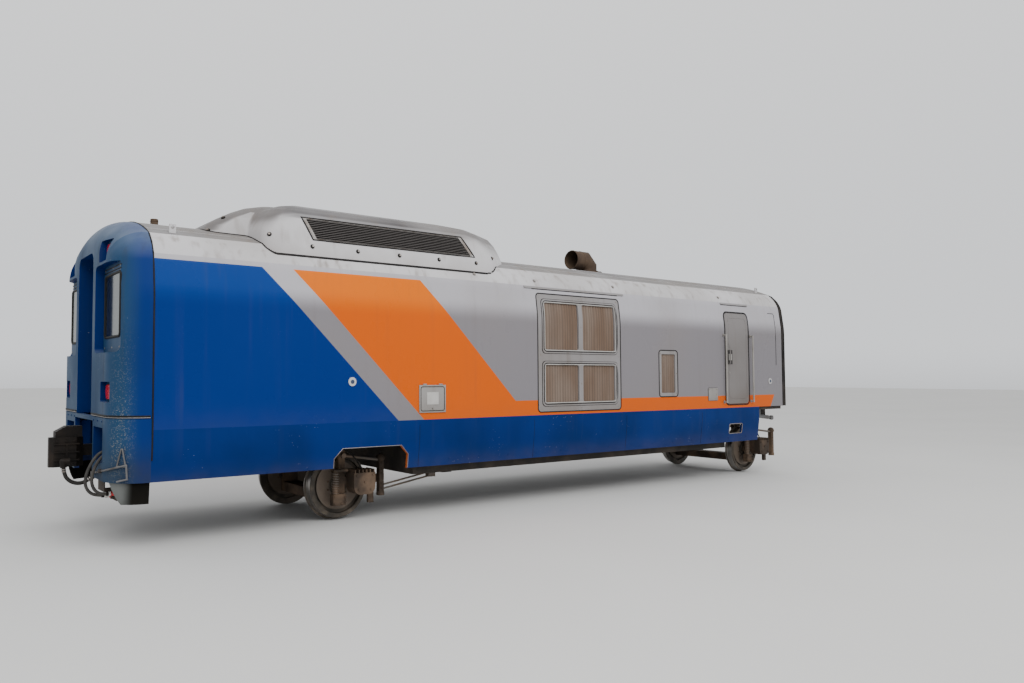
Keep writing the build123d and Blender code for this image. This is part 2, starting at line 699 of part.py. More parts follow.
# Floor, underframe, belly pan, jacking pads and the generator set on the floor
floor_half = HALF_WIDTH - SKIRT_WALL
save("floor", block((0, BODY_LENGTH), (-floor_half, floor_half), (FLOOR_Z, SILL_Z)))
beam_z = (FLOOR_Z - SILL_BEAM_DEPTH, FLOOR_Z)
beam = block((0, BODY_LENGTH), SILL_BEAM_Y, beam_z)
frame = beam + mirrored(beam)
last_beam_x = BODY_LENGTH - CROSS_BEAM_END_GAP
beam_pitch = (last_beam_x - CROSS_BEAM_FIRST) / (CROSS_BEAMS - 1)
for count in range(CROSS_BEAMS):
    start = CROSS_BEAM_FIRST + count * beam_pitch
    frame += block((start, start + CROSS_BEAM_LENGTH), (-SILL_BEAM_Y[0], SILL_BEAM_Y[0]), beam_z)
save("underframe", frame)
belly_x = (BELLY_START, BODY_LENGTH - BELLY_END_BACK)
belly_y = (-BELLY_HALF, BELLY_HALF)
belly = block(belly_x, belly_y, (BELLY_Z, beam_z[0]))
belly -= block(inset(belly_x, BELLY_WALL), inset(belly_y, BELLY_WALL), (BELLY_Z + BELLY_WALL, beam_z[0]))
save("belly_pan", belly)
pads = []
for pad_x in inset(belly_x, JACK_PAD_START):
    pad_span = (pad_x - JACK_PAD_SIZE / 2, pad_x + JACK_PAD_SIZE / 2)
    pad_y = (-JACK_PAD_Y - JACK_PAD_SIZE / 2, -JACK_PAD_Y + JACK_PAD_SIZE / 2)
    pads += both(block(pad_span, pad_y, (BELLY_Z - JACK_PAD_THICK, BELLY_Z)))
save("jacking_pads", *pads)
engine = block(ENGINE_X, (-ENGINE_HALF, ENGINE_HALF), (SILL_Z, SILL_Z + ENGINE_HEIGHT))
save("generator_set", engine)

# Skirts with the wheel arch and the step hole
skirt_x = (0, BODY_LENGTH - SKIRT_END_BACK)
skirt_zone = block(skirt_x, (-HALF_WIDTH, -HALF_WIDTH / 2), (SKIRT_LOW_Z, SILL_Z))
skirt = (prism(skirt_x) - prism(skirt_x, SKIRT_WALL)) & skirt_zone
skirt -= block((0, ARCH_X[0]), (-HALF_WIDTH, -HALF_WIDTH / 2), (SKIRT_LOW_Z, SKIRT_NOSE_Z))
arch = Rectangle(ARCH_X[1] - ARCH_X[0], 2 * (ARCH_TOP_Z - SKIRT_LOW_Z))
arch = chamfer(arch.vertices(), length=ARCH_CHAMFER)
arch_middle = ((ARCH_X[0] + ARCH_X[1]) / 2, -HALF_WIDTH - WALL, SKIRT_LOW_Z)
arch_plane = Plane(origin=arch_middle, x_dir=(1, 0, 0), z_dir=(0, 1, 0))
skirt -= extrude(arch_plane * arch, amount=4 * WALL)
skirt -= window(from_end(STEP_BACK), STEP_Z, STEP_CORNER, through)
save("skirt_right", skirt)
save("skirt_left", mirrored(skirt))

# Nose cap with its door recess, window pockets and lamp pockets
nose_zone = block((-NOSE_LENGTH, 0), (-HALF_WIDTH, HALF_WIDTH), (APRON_TOP_Z + SEAM_GAP, ROOF_Z))
nose = nose_form(0, 0) & nose_zone
nose -= nose_form(NOSE_WALL, NOSE_FRONT_WALL)
cheek_half = RECESS_HALF + RECESS_CHEEK
cheek_x = (-NOSE_LENGTH + NOSE_FRONT_WALL, 0)
cheek_z = (RECESS_Z[0] - RECESS_CORNER, RECESS_Z[1] + RECESS_CHEEK)
nose += window((-cheek_half, cheek_half), cheek_z, RECESS_CORNER, cheek_x, "end") & nose_zone
recess_z = (RECESS_Z[0] - RECESS_CORNER, RECESS_Z[1])
nose -= window((-RECESS_HALF, RECESS_HALF), recess_z, RECESS_CORNER, (-NOSE_LENGTH - 1, 1), "end")
# Columns: Y limits counted in from the side, Z limits, depth
LAMP_POCKETS = (
    ((450.0, 770.0), (3240.0, 3500.0), 100.0),
    ((270.0, 610.0), (1630.0, 1860.0), 70.0),
)
lamps = []
glasses = []
pocket_floor_x = -NOSE_LENGTH + POCKET_DEPTH
for side_name, side in SIDES:
    pocket_y = from_side(WINDOW_POCKET_IN, side)
    nose -= window(pocket_y, WINDOW_POCKET_Z, WINDOW_CORNER, (-NOSE_LENGTH - 1, pocket_floor_x), "end")
    pane_y = from_side(WINDOW_IN, side)
    nose -= window(pane_y, WINDOW_Z, WINDOW_CORNER / 2, (-NOSE_LENGTH, 0), "end")
    pane_x = (pocket_floor_x, pocket_floor_x + GLASS_THICK)
    glasses.append(window(pane_y, WINDOW_Z, WINDOW_CORNER / 2, pane_x, "end"))
    for lamp_in, lamp_z, lamp_depth in LAMP_POCKETS:
        lamp_y = from_side(lamp_in, side)
        lamp_floor_x = -NOSE_LENGTH + lamp_depth
        nose -= window(lamp_y, lamp_z, STEP_CORNER, (-NOSE_LENGTH - 1, lamp_floor_x), "end")
        lens_y = inset(lamp_y, (lamp_y[1] - lamp_y[0] - LAMP_LENS[0]) / 2)
        lens_z = inset(lamp_z, (lamp_z[1] - lamp_z[0] - LAMP_LENS[1]) / 2)
        lens_x = (lamp_floor_x - LAMP_LENGTH, lamp_floor_x)
        lamps.append(window(lens_y, lens_z, LAMP_CORNER, lens_x, "end"))
save("tail_lamps", *lamps)
save("nose_windows", *glasses)

# Nose end door in a bulkhead behind the recess, hinged at its right side, swinging inwards
bulkhead = prism((0, NOSE_WALL), WALL) & block((0, NOSE_WALL), (-HALF_WIDTH, HALF_WIDTH), (SILL_Z, ROOF_Z))
bulkhead -= window((-cheek_half, cheek_half), END_DOOR_Z, END_DOOR_CORNER, (-1, NOSE_WALL + 1), "end")
end_door_x = (RUNNER_GAP, NOSE_WALL)
end_door_y = inset((-cheek_half, cheek_half), DOOR_GAP)
end_door = window(end_door_y, inset(END_DOOR_Z, DOOR_GAP), END_DOOR_CORNER - DOOR_GAP, end_door_x, "end")
end_axis_x = NOSE_WALL + KNUCKLE_R + RUNNER_GAP
end_axis_y = -cheek_half
end_arm_x = (NOSE_WALL - RUNNER_GAP, end_axis_x)
end_leaf = (end_arm_x, (end_door_y[0] + 2 * KNUCKLE_GAP, end_door_y[0] + LEAF_LENGTH))
end_frame = (end_arm_x, (end_axis_y - LEAF_LENGTH, end_axis_y))
for height in inset(END_DOOR_Z, END_HINGE_INSET):
    fixed, moving = hinge(end_axis_x, end_axis_y, height, end_leaf, end_frame)
    end_door += moving
    bulkhead += fixed
save("end_door", end_door)
save("nose_bulkhead", bulkhead)
save("nose_cap", nose)

# Nose apron with the coupler opening and the socket pockets
apron_zone = block((-NOSE_LENGTH, 0), (-HALF_WIDTH, HALF_WIDTH), (SKIRT_NOSE_Z, APRON_TOP_Z))
apron = (nose_form(0, 0) & apron_zone) - nose_form(NOSE_WALL, NOSE_WALL)
apron -= block((-NOSE_LENGTH - 1, 0), (-COUPLER_GAP_HALF, COUPLER_GAP_HALF), (0, COUPLER_GAP_TOP))
tray_end_x = -NOSE_LENGTH + SOCKET_POCKET_DEPTH
hollow_end_x = tray_end_x - SOCKET_POCKET_WALL
for side_name, side in SIDES:
    tray_y = tuple(sorted(side * y for y in SOCKET_POCKET_Y))
    tray = block((-NOSE_LENGTH + NOSE_WALL, tray_end_x), tray_y, SOCKET_POCKET_Z)
    hollow_y = inset(tray_y, SOCKET_POCKET_WALL)
    hollow = block((-NOSE_LENGTH - 1, hollow_end_x), hollow_y, inset(SOCKET_POCKET_Z, SOCKET_POCKET_WALL))
    apron = apron + tray - hollow
save("nose_apron", apron)

# Corner deflectors: bent plates that carry the nose's rounded corner down towards the rail
deflector_zone = block((-NOSE_LENGTH, 0), (-HALF_WIDTH, -DEFLECTOR_Y), (DEFLECTOR_LOW_Z, SKIRT_NOSE_Z))
deflector = nose_form(DEFLECTOR_INSET, DEFLECTOR_INSET) & deflector_zone
deflector -= nose_form(DEFLECTOR_INSET + DEFLECTOR_WALL, DEFLECTOR_INSET + DEFLECTOR_WALL)
taper = Polyline(
    (-DEFLECTOR_Y, SKIRT_NOSE_Z),
    (-DEFLECTOR_Y - DEFLECTOR_TAPER, DEFLECTOR_LOW_Z),
    (-DEFLECTOR_Y, DEFLECTOR_LOW_Z),
    close=True,
)
deflector -= extrude(Plane.YZ.offset(-NOSE_LENGTH) * make_face(taper), amount=NOSE_LENGTH)
save("corner_deflectors", *both(deflector))

# Headstock, coupler and what carries it
headstock = block(HEADSTOCK_X, (-HEADSTOCK_HALF, HEADSTOCK_HALF), HEADSTOCK_Z)
shank_gap_z = (COUPLER_Z - SHANK_GAP_DOWN, COUPLER_Z + SHANK_GAP_UP)
headstock -= block(HEADSTOCK_X, (-SHANK_GAP_Y, SHANK_GAP_Y), shank_gap_z)
shelf_z = (HEADSTOCK_Z[1] - HEADSTOCK_SHELF, HEADSTOCK_Z[1])
headstock += block((HEADSTOCK_X[1], 0), (-HEADSTOCK_HALF, HEADSTOCK_HALF), shelf_z)
save("headstock", headstock)


def head_plate(points, half_height):
    """Slice of the coupler head from its outline seen from above."""
    outline = Polyline(*[(COUPLER_TIP_X + x, y) for x, y in points], close=True)
    plane = Plane.XY.offset(COUPLER_Z - half_height)
    return extrude(plane * make_face(outline), amount=2 * half_height)


head_full = head_plate(COUPLER_HEAD, COUPLER_HALF_HEIGHT)
head_back_x = COUPLER_TIP_X + COUPLER_HEAD[0][0]
head_z = (COUPLER_Z - COUPLER_HALF_HEIGHT, COUPLER_Z + COUPLER_HALF_HEIGHT)
big_tooth = head_full & block((COUPLER_TIP_X, head_back_x), (COUPLER_HEAD[1][1], TOOTH_SPLIT_Y), head_z)
coupler = head_plate(COUPLER_HEAD, SMALL_TOOTH_HALF_HEIGHT) + big_tooth
lock_x = (COUPLER_TIP_X + LOCK_X[0], COUPLER_TIP_X + LOCK_X[1])
coupler += block(lock_x, LOCK_Y, (COUPLER_Z - LOCK_HALF_HEIGHT, COUPLER_Z + LOCK_HALF_HEIGHT))
rib_x = (COUPLER_TIP_X + RIB_X[0], COUPLER_TIP_X + RIB_X[1])
rib_y = (COUPLER_HEAD[1][1] - RIB_PROUD, COUPLER_HEAD[1][1] + RIB_PROUD)
for rib_z in COUPLER_RIBS:
    coupler += block(rib_x, rib_y, (COUPLER_Z + rib_z - RIB_THICK / 2, COUPLER_Z + rib_z + RIB_THICK / 2))
rib_middle = (rib_x[0] + rib_x[1]) / 2
rib_span = (COUPLER_Z + COUPLER_RIBS[0], COUPLER_Z + COUPLER_RIBS[-1])
coupler += block((rib_middle - RIB_THICK / 2, rib_middle + RIB_THICK / 2), rib_y, rib_span)
guard = Polyline(
    (COUPLER_TIP_X + GUARD_X[0] + GUARD_SLOPE, head_z[1] + GUARD_HEIGHT),
    (COUPLER_TIP_X + GUARD_X[1], head_z[1] + GUARD_HEIGHT),
    (COUPLER_TIP_X + GUARD_X[1], head_z[1]),
    (COUPLER_TIP_X + GUARD_X[0], head_z[1]),
    (COUPLER_TIP_X + GUARD_X[0], head_z[1] + GUARD_HEIGHT / 2),
    close=True,
)
coupler += extrude(Plane.XZ.offset(-GUARD_Y[1]) * make_face(guard), amount=GUARD_Y[1] - GUARD_Y[0])
shank_z = (COUPLER_Z - SHANK_HALF, COUPLER_Z + SHANK_HALF)
coupler += block((head_back_x - SHANK_HALF, SHANK_END_X), (-SHANK_HALF, SHANK_HALF), shank_z)
draft_z = (shank_z[0] - DRAFT_BOX_GAP, FLOOR_Z)
draft_box = block(DRAFT_BOX_X, (-DRAFT_BOX_HALF, DRAFT_BOX_HALF), draft_z)
draft_hollow_y = (-SHANK_HALF - DRAFT_BOX_GAP, SHANK_HALF + DRAFT_BOX_GAP)
draft_box -= block((DRAFT_BOX_X[0] - 1, SHANK_END_X), draft_hollow_y, shank_z)
carrier_z = (shank_z[0] - CARRIER_DEPTH, shank_z[0])
carrier = block(CARRIER_X, (-CARRIER_HALF, CARRIER_HALF), carrier_z)
for side_name, side in SIDES:
    leg_y = sorted((side * (CARRIER_HALF - CARRIER_LEG), side * CARRIER_HALF))
    carrier += block(CARRIER_X, leg_y, (carrier_z[0], shelf_z[0]))
save("coupler_carrier", draft_box, carrier)

# Uncoupling lever on two brackets in front of the apron, and the loop handle at the nose's corner
lever_x = -NOSE_LENGTH - LEVER_STAND
lever_points = [(lever_x, -y, z) for y, z in zip(LEVER_Y, LEVER_Z)]
lever_points += [corner_point(*row) for row in LEVER_END]
lever = bent_rod(lever_points, LEVER_R)
lever_slope = (LEVER_Z[1] - LEVER_Z[0]) / (LEVER_Y[1] - LEVER_Y[0])
for bracket_y in inset(LEVER_Y, LEVER_BRACKET_INSET):
    bracket_z = LEVER_Z[0] + lever_slope * (bracket_y - LEVER_Y[0])
    bracket_span = (-bracket_y - LEVER_R, -bracket_y + LEVER_R)
    bracket_rise = (bracket_z - 2 * LEVER_R, bracket_z + 2 * LEVER_R)
    lever += block((lever_x - 2 * LEVER_R, -NOSE_LENGTH), bracket_span, bracket_rise)
loop_points = [corner_point(*row) for row in HANDLE_POINTS]
loop = bent_rod([*loop_points, loop_points[0]], HANDLE_R) + Pos(*loop_points[0]) * Sphere(HANDLE_R)
foot = corner_point(*HANDLE_FOOT, HANDLE_POINTS[0][2])
root = corner_point(*HANDLE_FOOT, -NOSE_WALL / 2)
loop += rod(root, foot, HANDLE_R) - nose_form(0, 0)
save("uncoupling_lever", lever, loop)


def along(start, end, length):
    """Point on the line through two points, past the second one by a length."""
    step = (Vector(*end) - Vector(*start)).normalized() * length
    return tuple(Vector(*end) + step)


# Jumper cables from the nose sockets to the parking box, each with a plug at both ends
plugs = []
cable_sockets = []
plate_y = (-PARKING_PLATE_Y[1], -PARKING_PLATE_Y[0])
plate_x = (-NOSE_LENGTH + NOSE_WALL, -NOSE_LENGTH + NOSE_WALL + PARKING_PLATE)
parking = block(plate_x, plate_y, PARKING_PLATE_Z)
parking += block((plate_x[1], PARKING_BOX_X[0]), (plate_y[0], plate_y[0] + PARKING_ARM), PARKING_ARM_Z)
parking += block(PARKING_BOX_X, (-PARKING_BOX_Y[1], -PARKING_BOX_Y[0]), PARKING_BOX_Z)
socket_limit = block((-NOSE_LENGTH, hollow_end_x), (-HALF_WIDTH, HALF_WIDTH), SOCKET_POCKET_Z)
for name, route in (("a", CABLE_A_ROUTE), ("b", CABLE_B_ROUTE)):
    save(f"jumper_cable_{name}", cord_tube(route, CABLE_DIAMETER))
    top = along(route[1], route[0], PLUG_LENGTH)
    low = along(route[-2], route[-1], PLUG_LENGTH)
    plugs += [rod(route[0], top, PLUG_R), rod(route[-1], low, PLUG_R)]
    parking += rod(low, along(route[-2], route[-1], PLUG_LENGTH + SOCKET_LENGTH), SOCKET_R)
    socket = rod(top, along(route[1], route[0], PLUG_LENGTH + SOCKET_LENGTH), SOCKET_R) & socket_limit
    cable_sockets += both(socket)
save("cable_plugs", *plugs)
for plug in plugs:
    parking -= plug
save("cable_sockets", parking, *cable_sockets)

# Brake hose from its cock under the headstock to its head, hung up on a hook at the coupler
save("brake_hose", cord_tube(HOSE_ROUTE, HOSE_DIAMETER))
cock_end = along(HOSE_ROUTE[1], HOSE_ROUTE[0], COCK_REACH)
cock_root = (HEADSTOCK_X[0], cock_end[1], HEADSTOCK_Z[0] + 2 * COCK_R)
cock = bent_rod([HOSE_ROUTE[0], cock_end, cock_root], COCK_R)
cock -= block((HEADSTOCK_X[0], 0), (-HEADSTOCK_HALF, 0), HEADSTOCK_Z)
cock_middle = along(HOSE_ROUTE[1], HOSE_ROUTE[0], COCK_REACH / 2)
cock += rod(cock_middle, (cock_middle[0], cock_middle[1], cock_middle[2] + COCK_LEVER), COCK_R / 2)
save("angle_cock", cock)
head_top = along(HOSE_ROUTE[-2], HOSE_ROUTE[-1], HOSE_HEAD_LENGTH)
head_face = (head_top[0] + HOSE_HEAD_LENGTH, head_top[1], head_top[2])
hose_head = bent_rod([HOSE_ROUTE[-1], head_top, head_face], HOSE_HEAD_R)
save("hose_head", hose_head)
hook_x = (head_top[0] - HOOK_HALF, head_top[0] + HOOK_HALF)
hook_z = (head_top[2] - HOOK_HALF, head_top[2] + HOOK_HALF)
coupler += block(hook_x, (head_top[1], COUPLER_HEAD[1][1]), hook_z) - hose_head
save("coupler", coupler)

# Fairing over the roof: a shell through level slices, each a closed outline seen from above


def fairing_form(shrink):
    """Fairing drawn in by an amount."""
    slices = []
    for rise, front, snout, flank, half, tail_start, tail, tail_half, rear in FAIRING_SLICES:
        snout_y, half_y, tail_y = snout - shrink, half - shrink, tail_half - shrink
        front_x, flank_x = front + shrink, flank + shrink
        points = (
            (front_x, 0),
            (front_x, snout_y),
            (flank_x - FAIRING_FLARE[0], snout_y + FAIRING_FLARE[1]),
            (flank_x, half_y),
            (tail_start, half_y),
            (tail - shrink, tail_y),
            (rear - shrink, 0),
        )
        limits = (snout_y, snout_y, half_y - snout_y, half_y, tail_y)
        radii = [min(radius, share * limit) for (radius, share), limit in zip(FAIRING_ROUNDS, limits)]
        left = FilletPolyline(*points, radius=radii)
        edges = [*left.edges(), *mirror(left, about=Plane.XZ).edges()]
        level = Pos(0, 0, ROOF_Z + rise - shrink)
        slices.append(Face(Wire([level * edge for edge in edges])))
    return loft(slices, ruled=True)


def grille_prism(frame, rail, corner):
    """Slanted outline of a side grille, drawn in by its frame and rails, drawn out through the side."""
    low, high = ROOF_Z + GRILLE_RISE[0] + rail, ROOF_Z + GRILLE_RISE[1] - rail
    top_x, low_x = inset(GRILLE_TOP_X, frame), inset(GRILLE_LOW_X, frame)
    outline = make_face(Polyline((low_x[0], low), (low_x[1], low), (top_x[1], high), (top_x[0], high), close=True))
    outline = fillet(outline.vertices(), radius=corner)
    plane = Plane(origin=(0, -HALF_WIDTH, 0), x_dir=(1, 0, 0), z_dir=(0, -1, 0))
    return extrude(plane * outline, amount=-HALF_WIDTH / 2)


fairing_outer = fairing_form(0)
fairing = fairing_outer - fairing_form(FAIRING_WALL)
fairing -= prism((0, BODY_LENGTH))
grille_outline = grille_prism(0, 0, GRILLE_CORNER)
fairing -= grille_outline
fairing -= mirrored(grille_outline)
save("roof_fairing", fairing)
grille_solid = fairing_outer & grille_outline
grille_core = grille_prism(GRILLE_FRAME, GRILLE_RAIL, GRILLE_INNER_CORNER)
grille_back = fairing_form(GRILLE_DEPTH - GRILLE_BACK)
grille = grille_solid - grille_core - grille_back
slat_pitch = (GRILLE_RISE[1] - GRILLE_RISE[0] - 2 * GRILLE_RAIL) / GRILLE_SLATS
slat_zone = grille_solid & grille_core
for count in range(GRILLE_SLATS):
    slat_z = ROOF_Z + GRILLE_RISE[0] + GRILLE_RAIL + (count + 0.5) * slat_pitch
    slat_x = (GRILLE_TOP_X[0], GRILLE_LOW_X[1])
    slat = block(slat_x, (-HALF_WIDTH, -HALF_WIDTH / 2), (slat_z - SLAT_THICK / 2, slat_z + SLAT_THICK / 2))
    grille += (slat_zone & slat) - grille_back
grille += (grille_solid & grille_back) - fairing_form(GRILLE_DEPTH)
save("fairing_grilles", *both(grille))

# Exhaust: mitred elbow that opens towards the nose, with its base plate
elbow_z = ROOF_Z + EXHAUST_RISE
elbow = (
    (EXHAUST_X, 0, elbow_z - EXHAUST_BEND),
    (EXHAUST_X - EXHAUST_BEND, 0, elbow_z),
    (EXHAUST_X - EXHAUST_MOUTH, 0, elbow_z),
)


def pipe(foot_z, radius):
    """Mitred exhaust pipe from a foot height to its mouth."""
    path = Polyline((EXHAUST_X, 0, foot_z), *elbow)
    section = Plane(origin=(EXHAUST_X, 0, foot_z), z_dir=(0, 0, 1)) * Circle(radius)
    return sweep(section, path=path, transition=Transition.RIGHT)


exhaust = pipe(ROOF_Z - WALL, EXHAUST_R) - pipe(ROOF_Z + BASE_THICK, EXHAUST_R - EXHAUST_WALL)
exhaust += rod((EXHAUST_X, 0, ROOF_Z - WALL), (EXHAUST_X, 0, ROOF_Z + BASE_THICK), EXHAUST_BASE_R)
exhaust -= prism((EXHAUST_X - EXHAUST_BASE_R, EXHAUST_X + EXHAUST_BASE_R))
save("exhaust_stack", exhaust)

# Beacon and lifting eyes
beacon = rod((BEACON_X, 0, ROOF_Z - BASE_THICK), (BEACON_X, 0, ROOF_Z + BEACON_RISE), BEACON_R)
beacon += rod((BEACON_X, 0, ROOF_Z - BASE_THICK), (BEACON_X, 0, ROOF_Z + BASE_THICK), 2 * BEACON_R)
save("roof_beacon", beacon - prism((0, BODY_LENGTH)))
eyes = []
eye_y = -ROOF_EDGE_Y + EYE_INSET
eye_top_z = ROOF_EDGE_Z + EYE_HEIGHT
for eye_x in inset((0.0, BODY_LENGTH), EYE_END_GAP):
    eye_span = (eye_x - EYE_HALF, eye_x + EYE_HALF)
    eye = block(eye_span, (eye_y - EYE_THICK / 2, eye_y + EYE_THICK / 2), (ROOF_EDGE_Z, eye_top_z))
    hole_z = eye_top_z - EYE_HALF
    eye -= rod((eye_x, eye_y - EYE_THICK, hole_z), (eye_x, eye_y + EYE_THICK, hole_z), EYE_HOLE_R)
    eyes += both(eye - prism((0, BODY_LENGTH)))
save("lifting_eyes", *eyes)

# Inner end: end wall with its doorway, sliding door, gangway bellows and the drawbar to the next car
end_wall_x = (BODY_LENGTH - END_WALL, BODY_LENGTH)
end_wall = prism(end_wall_x, WALL) & block(end_wall_x, (-HALF_WIDTH, HALF_WIDTH), (SILL_Z, ROOF_Z))
doorway_half = GANGWAY_DOOR_HALF - GANGWAY_OVERLAP
doorway_z = (GANGWAY_DOOR_Z[0], GANGWAY_DOOR_Z[1] - GANGWAY_OVERLAP)
end_wall -= window((-doorway_half, doorway_half), doorway_z, END_DOOR_CORNER, inset(end_wall_x, -1), "end")
slide_x = (end_wall_x[0] - RUNNER_GAP - GANGWAY_DOOR_THICK, end_wall_x[0] - RUNNER_GAP)
slide_y = (-GANGWAY_DOOR_HALF, GANGWAY_DOOR_HALF)
save("gangway_door", window(slide_y, GANGWAY_DOOR_Z, STEP_CORNER, slide_x, "end"))
track_z = (GANGWAY_DOOR_Z[1] + FIT, GANGWAY_DOOR_Z[1] + DOOR_TRACK_HEIGHT)
track = block((slide_x[0], end_wall_x[0]), (-GANGWAY_DOOR_HALF, 3 * GANGWAY_DOOR_HALF), track_z)
save("inner_end_wall", end_wall + track)
bellows_pitch = BELLOWS_RING + BELLOWS_FOLD
bellows_x = (BODY_LENGTH, BODY_LENGTH + BELLOWS_RINGS * bellows_pitch)
bellows_zone = block(bellows_x, (-HALF_WIDTH, HALF_WIDTH), (SILL_Z, ROOF_Z))
bellows = prism(bellows_x, BELLOWS_INSET + BELLOWS_FOLD)
for count in range(BELLOWS_RINGS):
    ring_start = BODY_LENGTH + BELLOWS_FOLD + count * bellows_pitch
    bellows += prism((ring_start, ring_start + BELLOWS_RING), BELLOWS_INSET)
bellows -= prism(bellows_x, BELLOWS_INSET + BELLOWS_WALL)
bellows &= bellows_zone
bellows_floor_y = HALF_WIDTH - BELLOWS_INSET - BELLOWS_WALL
bellows += block(bellows_x, (-bellows_floor_y, bellows_floor_y), (SILL_Z, SILL_Z + BELLOWS_INSET))
save("gangway_bellows", bellows)
drawbar_root = (BODY_LENGTH - LINK_ROOT_BACK, BODY_LENGTH - LINK_ROOT_BACK + LINK_ROOT_LENGTH)
drawbar_z = (LINK_Z - LINK_THICK / 2, LINK_Z + LINK_THICK / 2)
drawbar = block((drawbar_root[0], LINK_X), (-LINK_HALF, LINK_HALF), drawbar_z)
drawbar += Pos(LINK_X, 0, LINK_Z) * Cylinder(LINK_EYE_R, LINK_THICK)
drawbar -= Pos(LINK_X, 0, LINK_Z) * Cylinder(LINK_BORE_R, LINK_THICK)
drawbar += block(drawbar_root, (-LINK_HALF, LINK_HALF), (LINK_Z, beam_z[0]))
save("inner_drawbar", drawbar)

# Wheels: tread, flange, web, hub and brake discs turned as one piece round a plain stub
web_y = ((WHEEL_WIDTH - WEB) / 2, (WHEEL_WIDTH + WEB) / 2)
disc_y = inset(web_y, -BRAKE_DISC_THICK)
# Columns: radius, distance from the back face
WHEEL_PROFILE = (
    (STUB_R + FIT, HUB_INSET),
    (HUB_R, HUB_INSET),
    (HUB_R, disc_y[0]),
    (BRAKE_DISC_R, disc_y[0]),
    (BRAKE_DISC_R, web_y[0]),
    (TREAD_R - RIM, web_y[0]),
    (TREAD_R - RIM, 0.0),
    (TREAD_R + FLANGE_DEPTH - FLANGE_TOE, 0.0),
    (TREAD_R + FLANGE_DEPTH, FLANGE_TOE),
    (TREAD_R + FLANGE_DEPTH, FLANGE_WIDTH - FLANGE_TOE),
    (TREAD_R + TREAD_CONE, FLANGE_WIDTH),
    (TREAD_R, FLANGE_WIDTH + FLANGE_TOE),
    (TREAD_R - TREAD_CONE, WHEEL_WIDTH - FLANGE_TOE),
    (TREAD_R - FLANGE_TOE, WHEEL_WIDTH),
    (TREAD_R - RIM, WHEEL_WIDTH),
    (TREAD_R - RIM, web_y[1]),
    (BRAKE_DISC_R, web_y[1]),
    (BRAKE_DISC_R, disc_y[1]),
    (HUB_R, disc_y[1]),
    (HUB_R, WHEEL_WIDTH - HUB_INSET),
    (STUB_R + FIT, WHEEL_WIDTH - HUB_INSET),
)
wheel_back = BACK_TO_BACK / 2
wheel_face = make_face(Polyline(*WHEEL_PROFILE, close=True))
wheel = Pos(0, wheel_back, TREAD_R) * revolve(wheel_face, axis=Axis.Y)
for axle_name, axle_x in zip(("front", "rear"), AXLE_X):
    save(f"wheel_{axle_name}_left", Pos(axle_x, 0, 0) * wheel)
    save(f"wheel_{axle_name}_right", mirrored(Pos(axle_x, 0, 0) * wheel))

# Running gear: a fork round each wheel with its cross tie, foot, coil, arm and bracket beam, right side
inner_leg = (-wheel_back + FORK_GAP, -wheel_back + FORK_GAP + FORK_PLATE)
outer_leg = (-wheel_back - WHEEL_WIDTH - FORK_GAP - FORK_PLATE, -wheel_back - WHEEL_WIDTH - FORK_GAP)
leg_z = (FORK_LOW_Z, FORK_TOP_Z)
seat_y = (outer_leg[0] - SEAT_DEPTH, outer_leg[0])
coil_y = outer_leg[0] - SEAT_DEPTH / 2
arm_y = (outer_leg[0] - ARM_OFFSET - ARM_HALF, outer_leg[0])
rod_y = outer_leg[0] - ARM_OFFSET
cap_z = (FORK_TOP_Z - FORK_CAP, FORK_TOP_Z)
fork = block((-FORK_HALF, FORK_HALF), inner_leg, leg_z)
fork += block((-PILLAR_HALF, PILLAR_HALF), outer_leg, leg_z)
fork += block((-FORK_HALF, FORK_HALF), (outer_leg[0], inner_leg[1]), cap_z)
fork += rod((0, outer_leg[1], TREAD_R), (0, inner_leg[0], TREAD_R), STUB_R)
fork += block((-FORK_HALF, FORK_HALF), (inner_leg[1], 0), (FORK_LOW_Z, FORK_LOW_Z + TIE_HEIGHT))
fork += block(SEAT_X, seat_y, SEAT_Z)
fork += rod((COIL_X, coil_y, SEAT_Z[1]), (COIL_X, coil_y, COIL_TOP_Z), COIL_R)
fork += block((COIL_X - COIL_R, PILLAR_HALF), seat_y, (COIL_TOP_Z, COIL_TOP_Z + COIL_CAP))
rods = []
for axle_name, axle_x, arm_x in zip(("front", "rear"), AXLE_X, ARM_X):
    gear = fork + block((0, arm_x + ARM_HALF), outer_leg, CARRIER_Z)
    gear += block((arm_x - ARM_HALF, arm_x + ARM_HALF), arm_y, ARM_Z)
    gear += Pos(arm_x, rod_y, ARM_Z[1]) * Sphere(KNOB_R)
    gear += rod((arm_x, rod_y, ARM_Z[0] - BOOT_R), (arm_x, rod_y, ARM_Z[0]), BOOT_R)
    save(f"running_gear_{axle_name}", Pos(axle_x, 0, 0) * (gear + mirrored(gear)))
    upper_rod = rod((0, rod_y, UPPER_ROD_Z[0]), (arm_x, rod_y, UPPER_ROD_Z[1]), ROD_R)
    upper_rod += rod((0, outer_leg[0], UPPER_ROD_Z[0]), (0, rod_y - ROD_R, UPPER_ROD_Z[0]), ROD_END_R)
    rods += both(Pos(axle_x, 0, 0) * (upper_rod - gear))

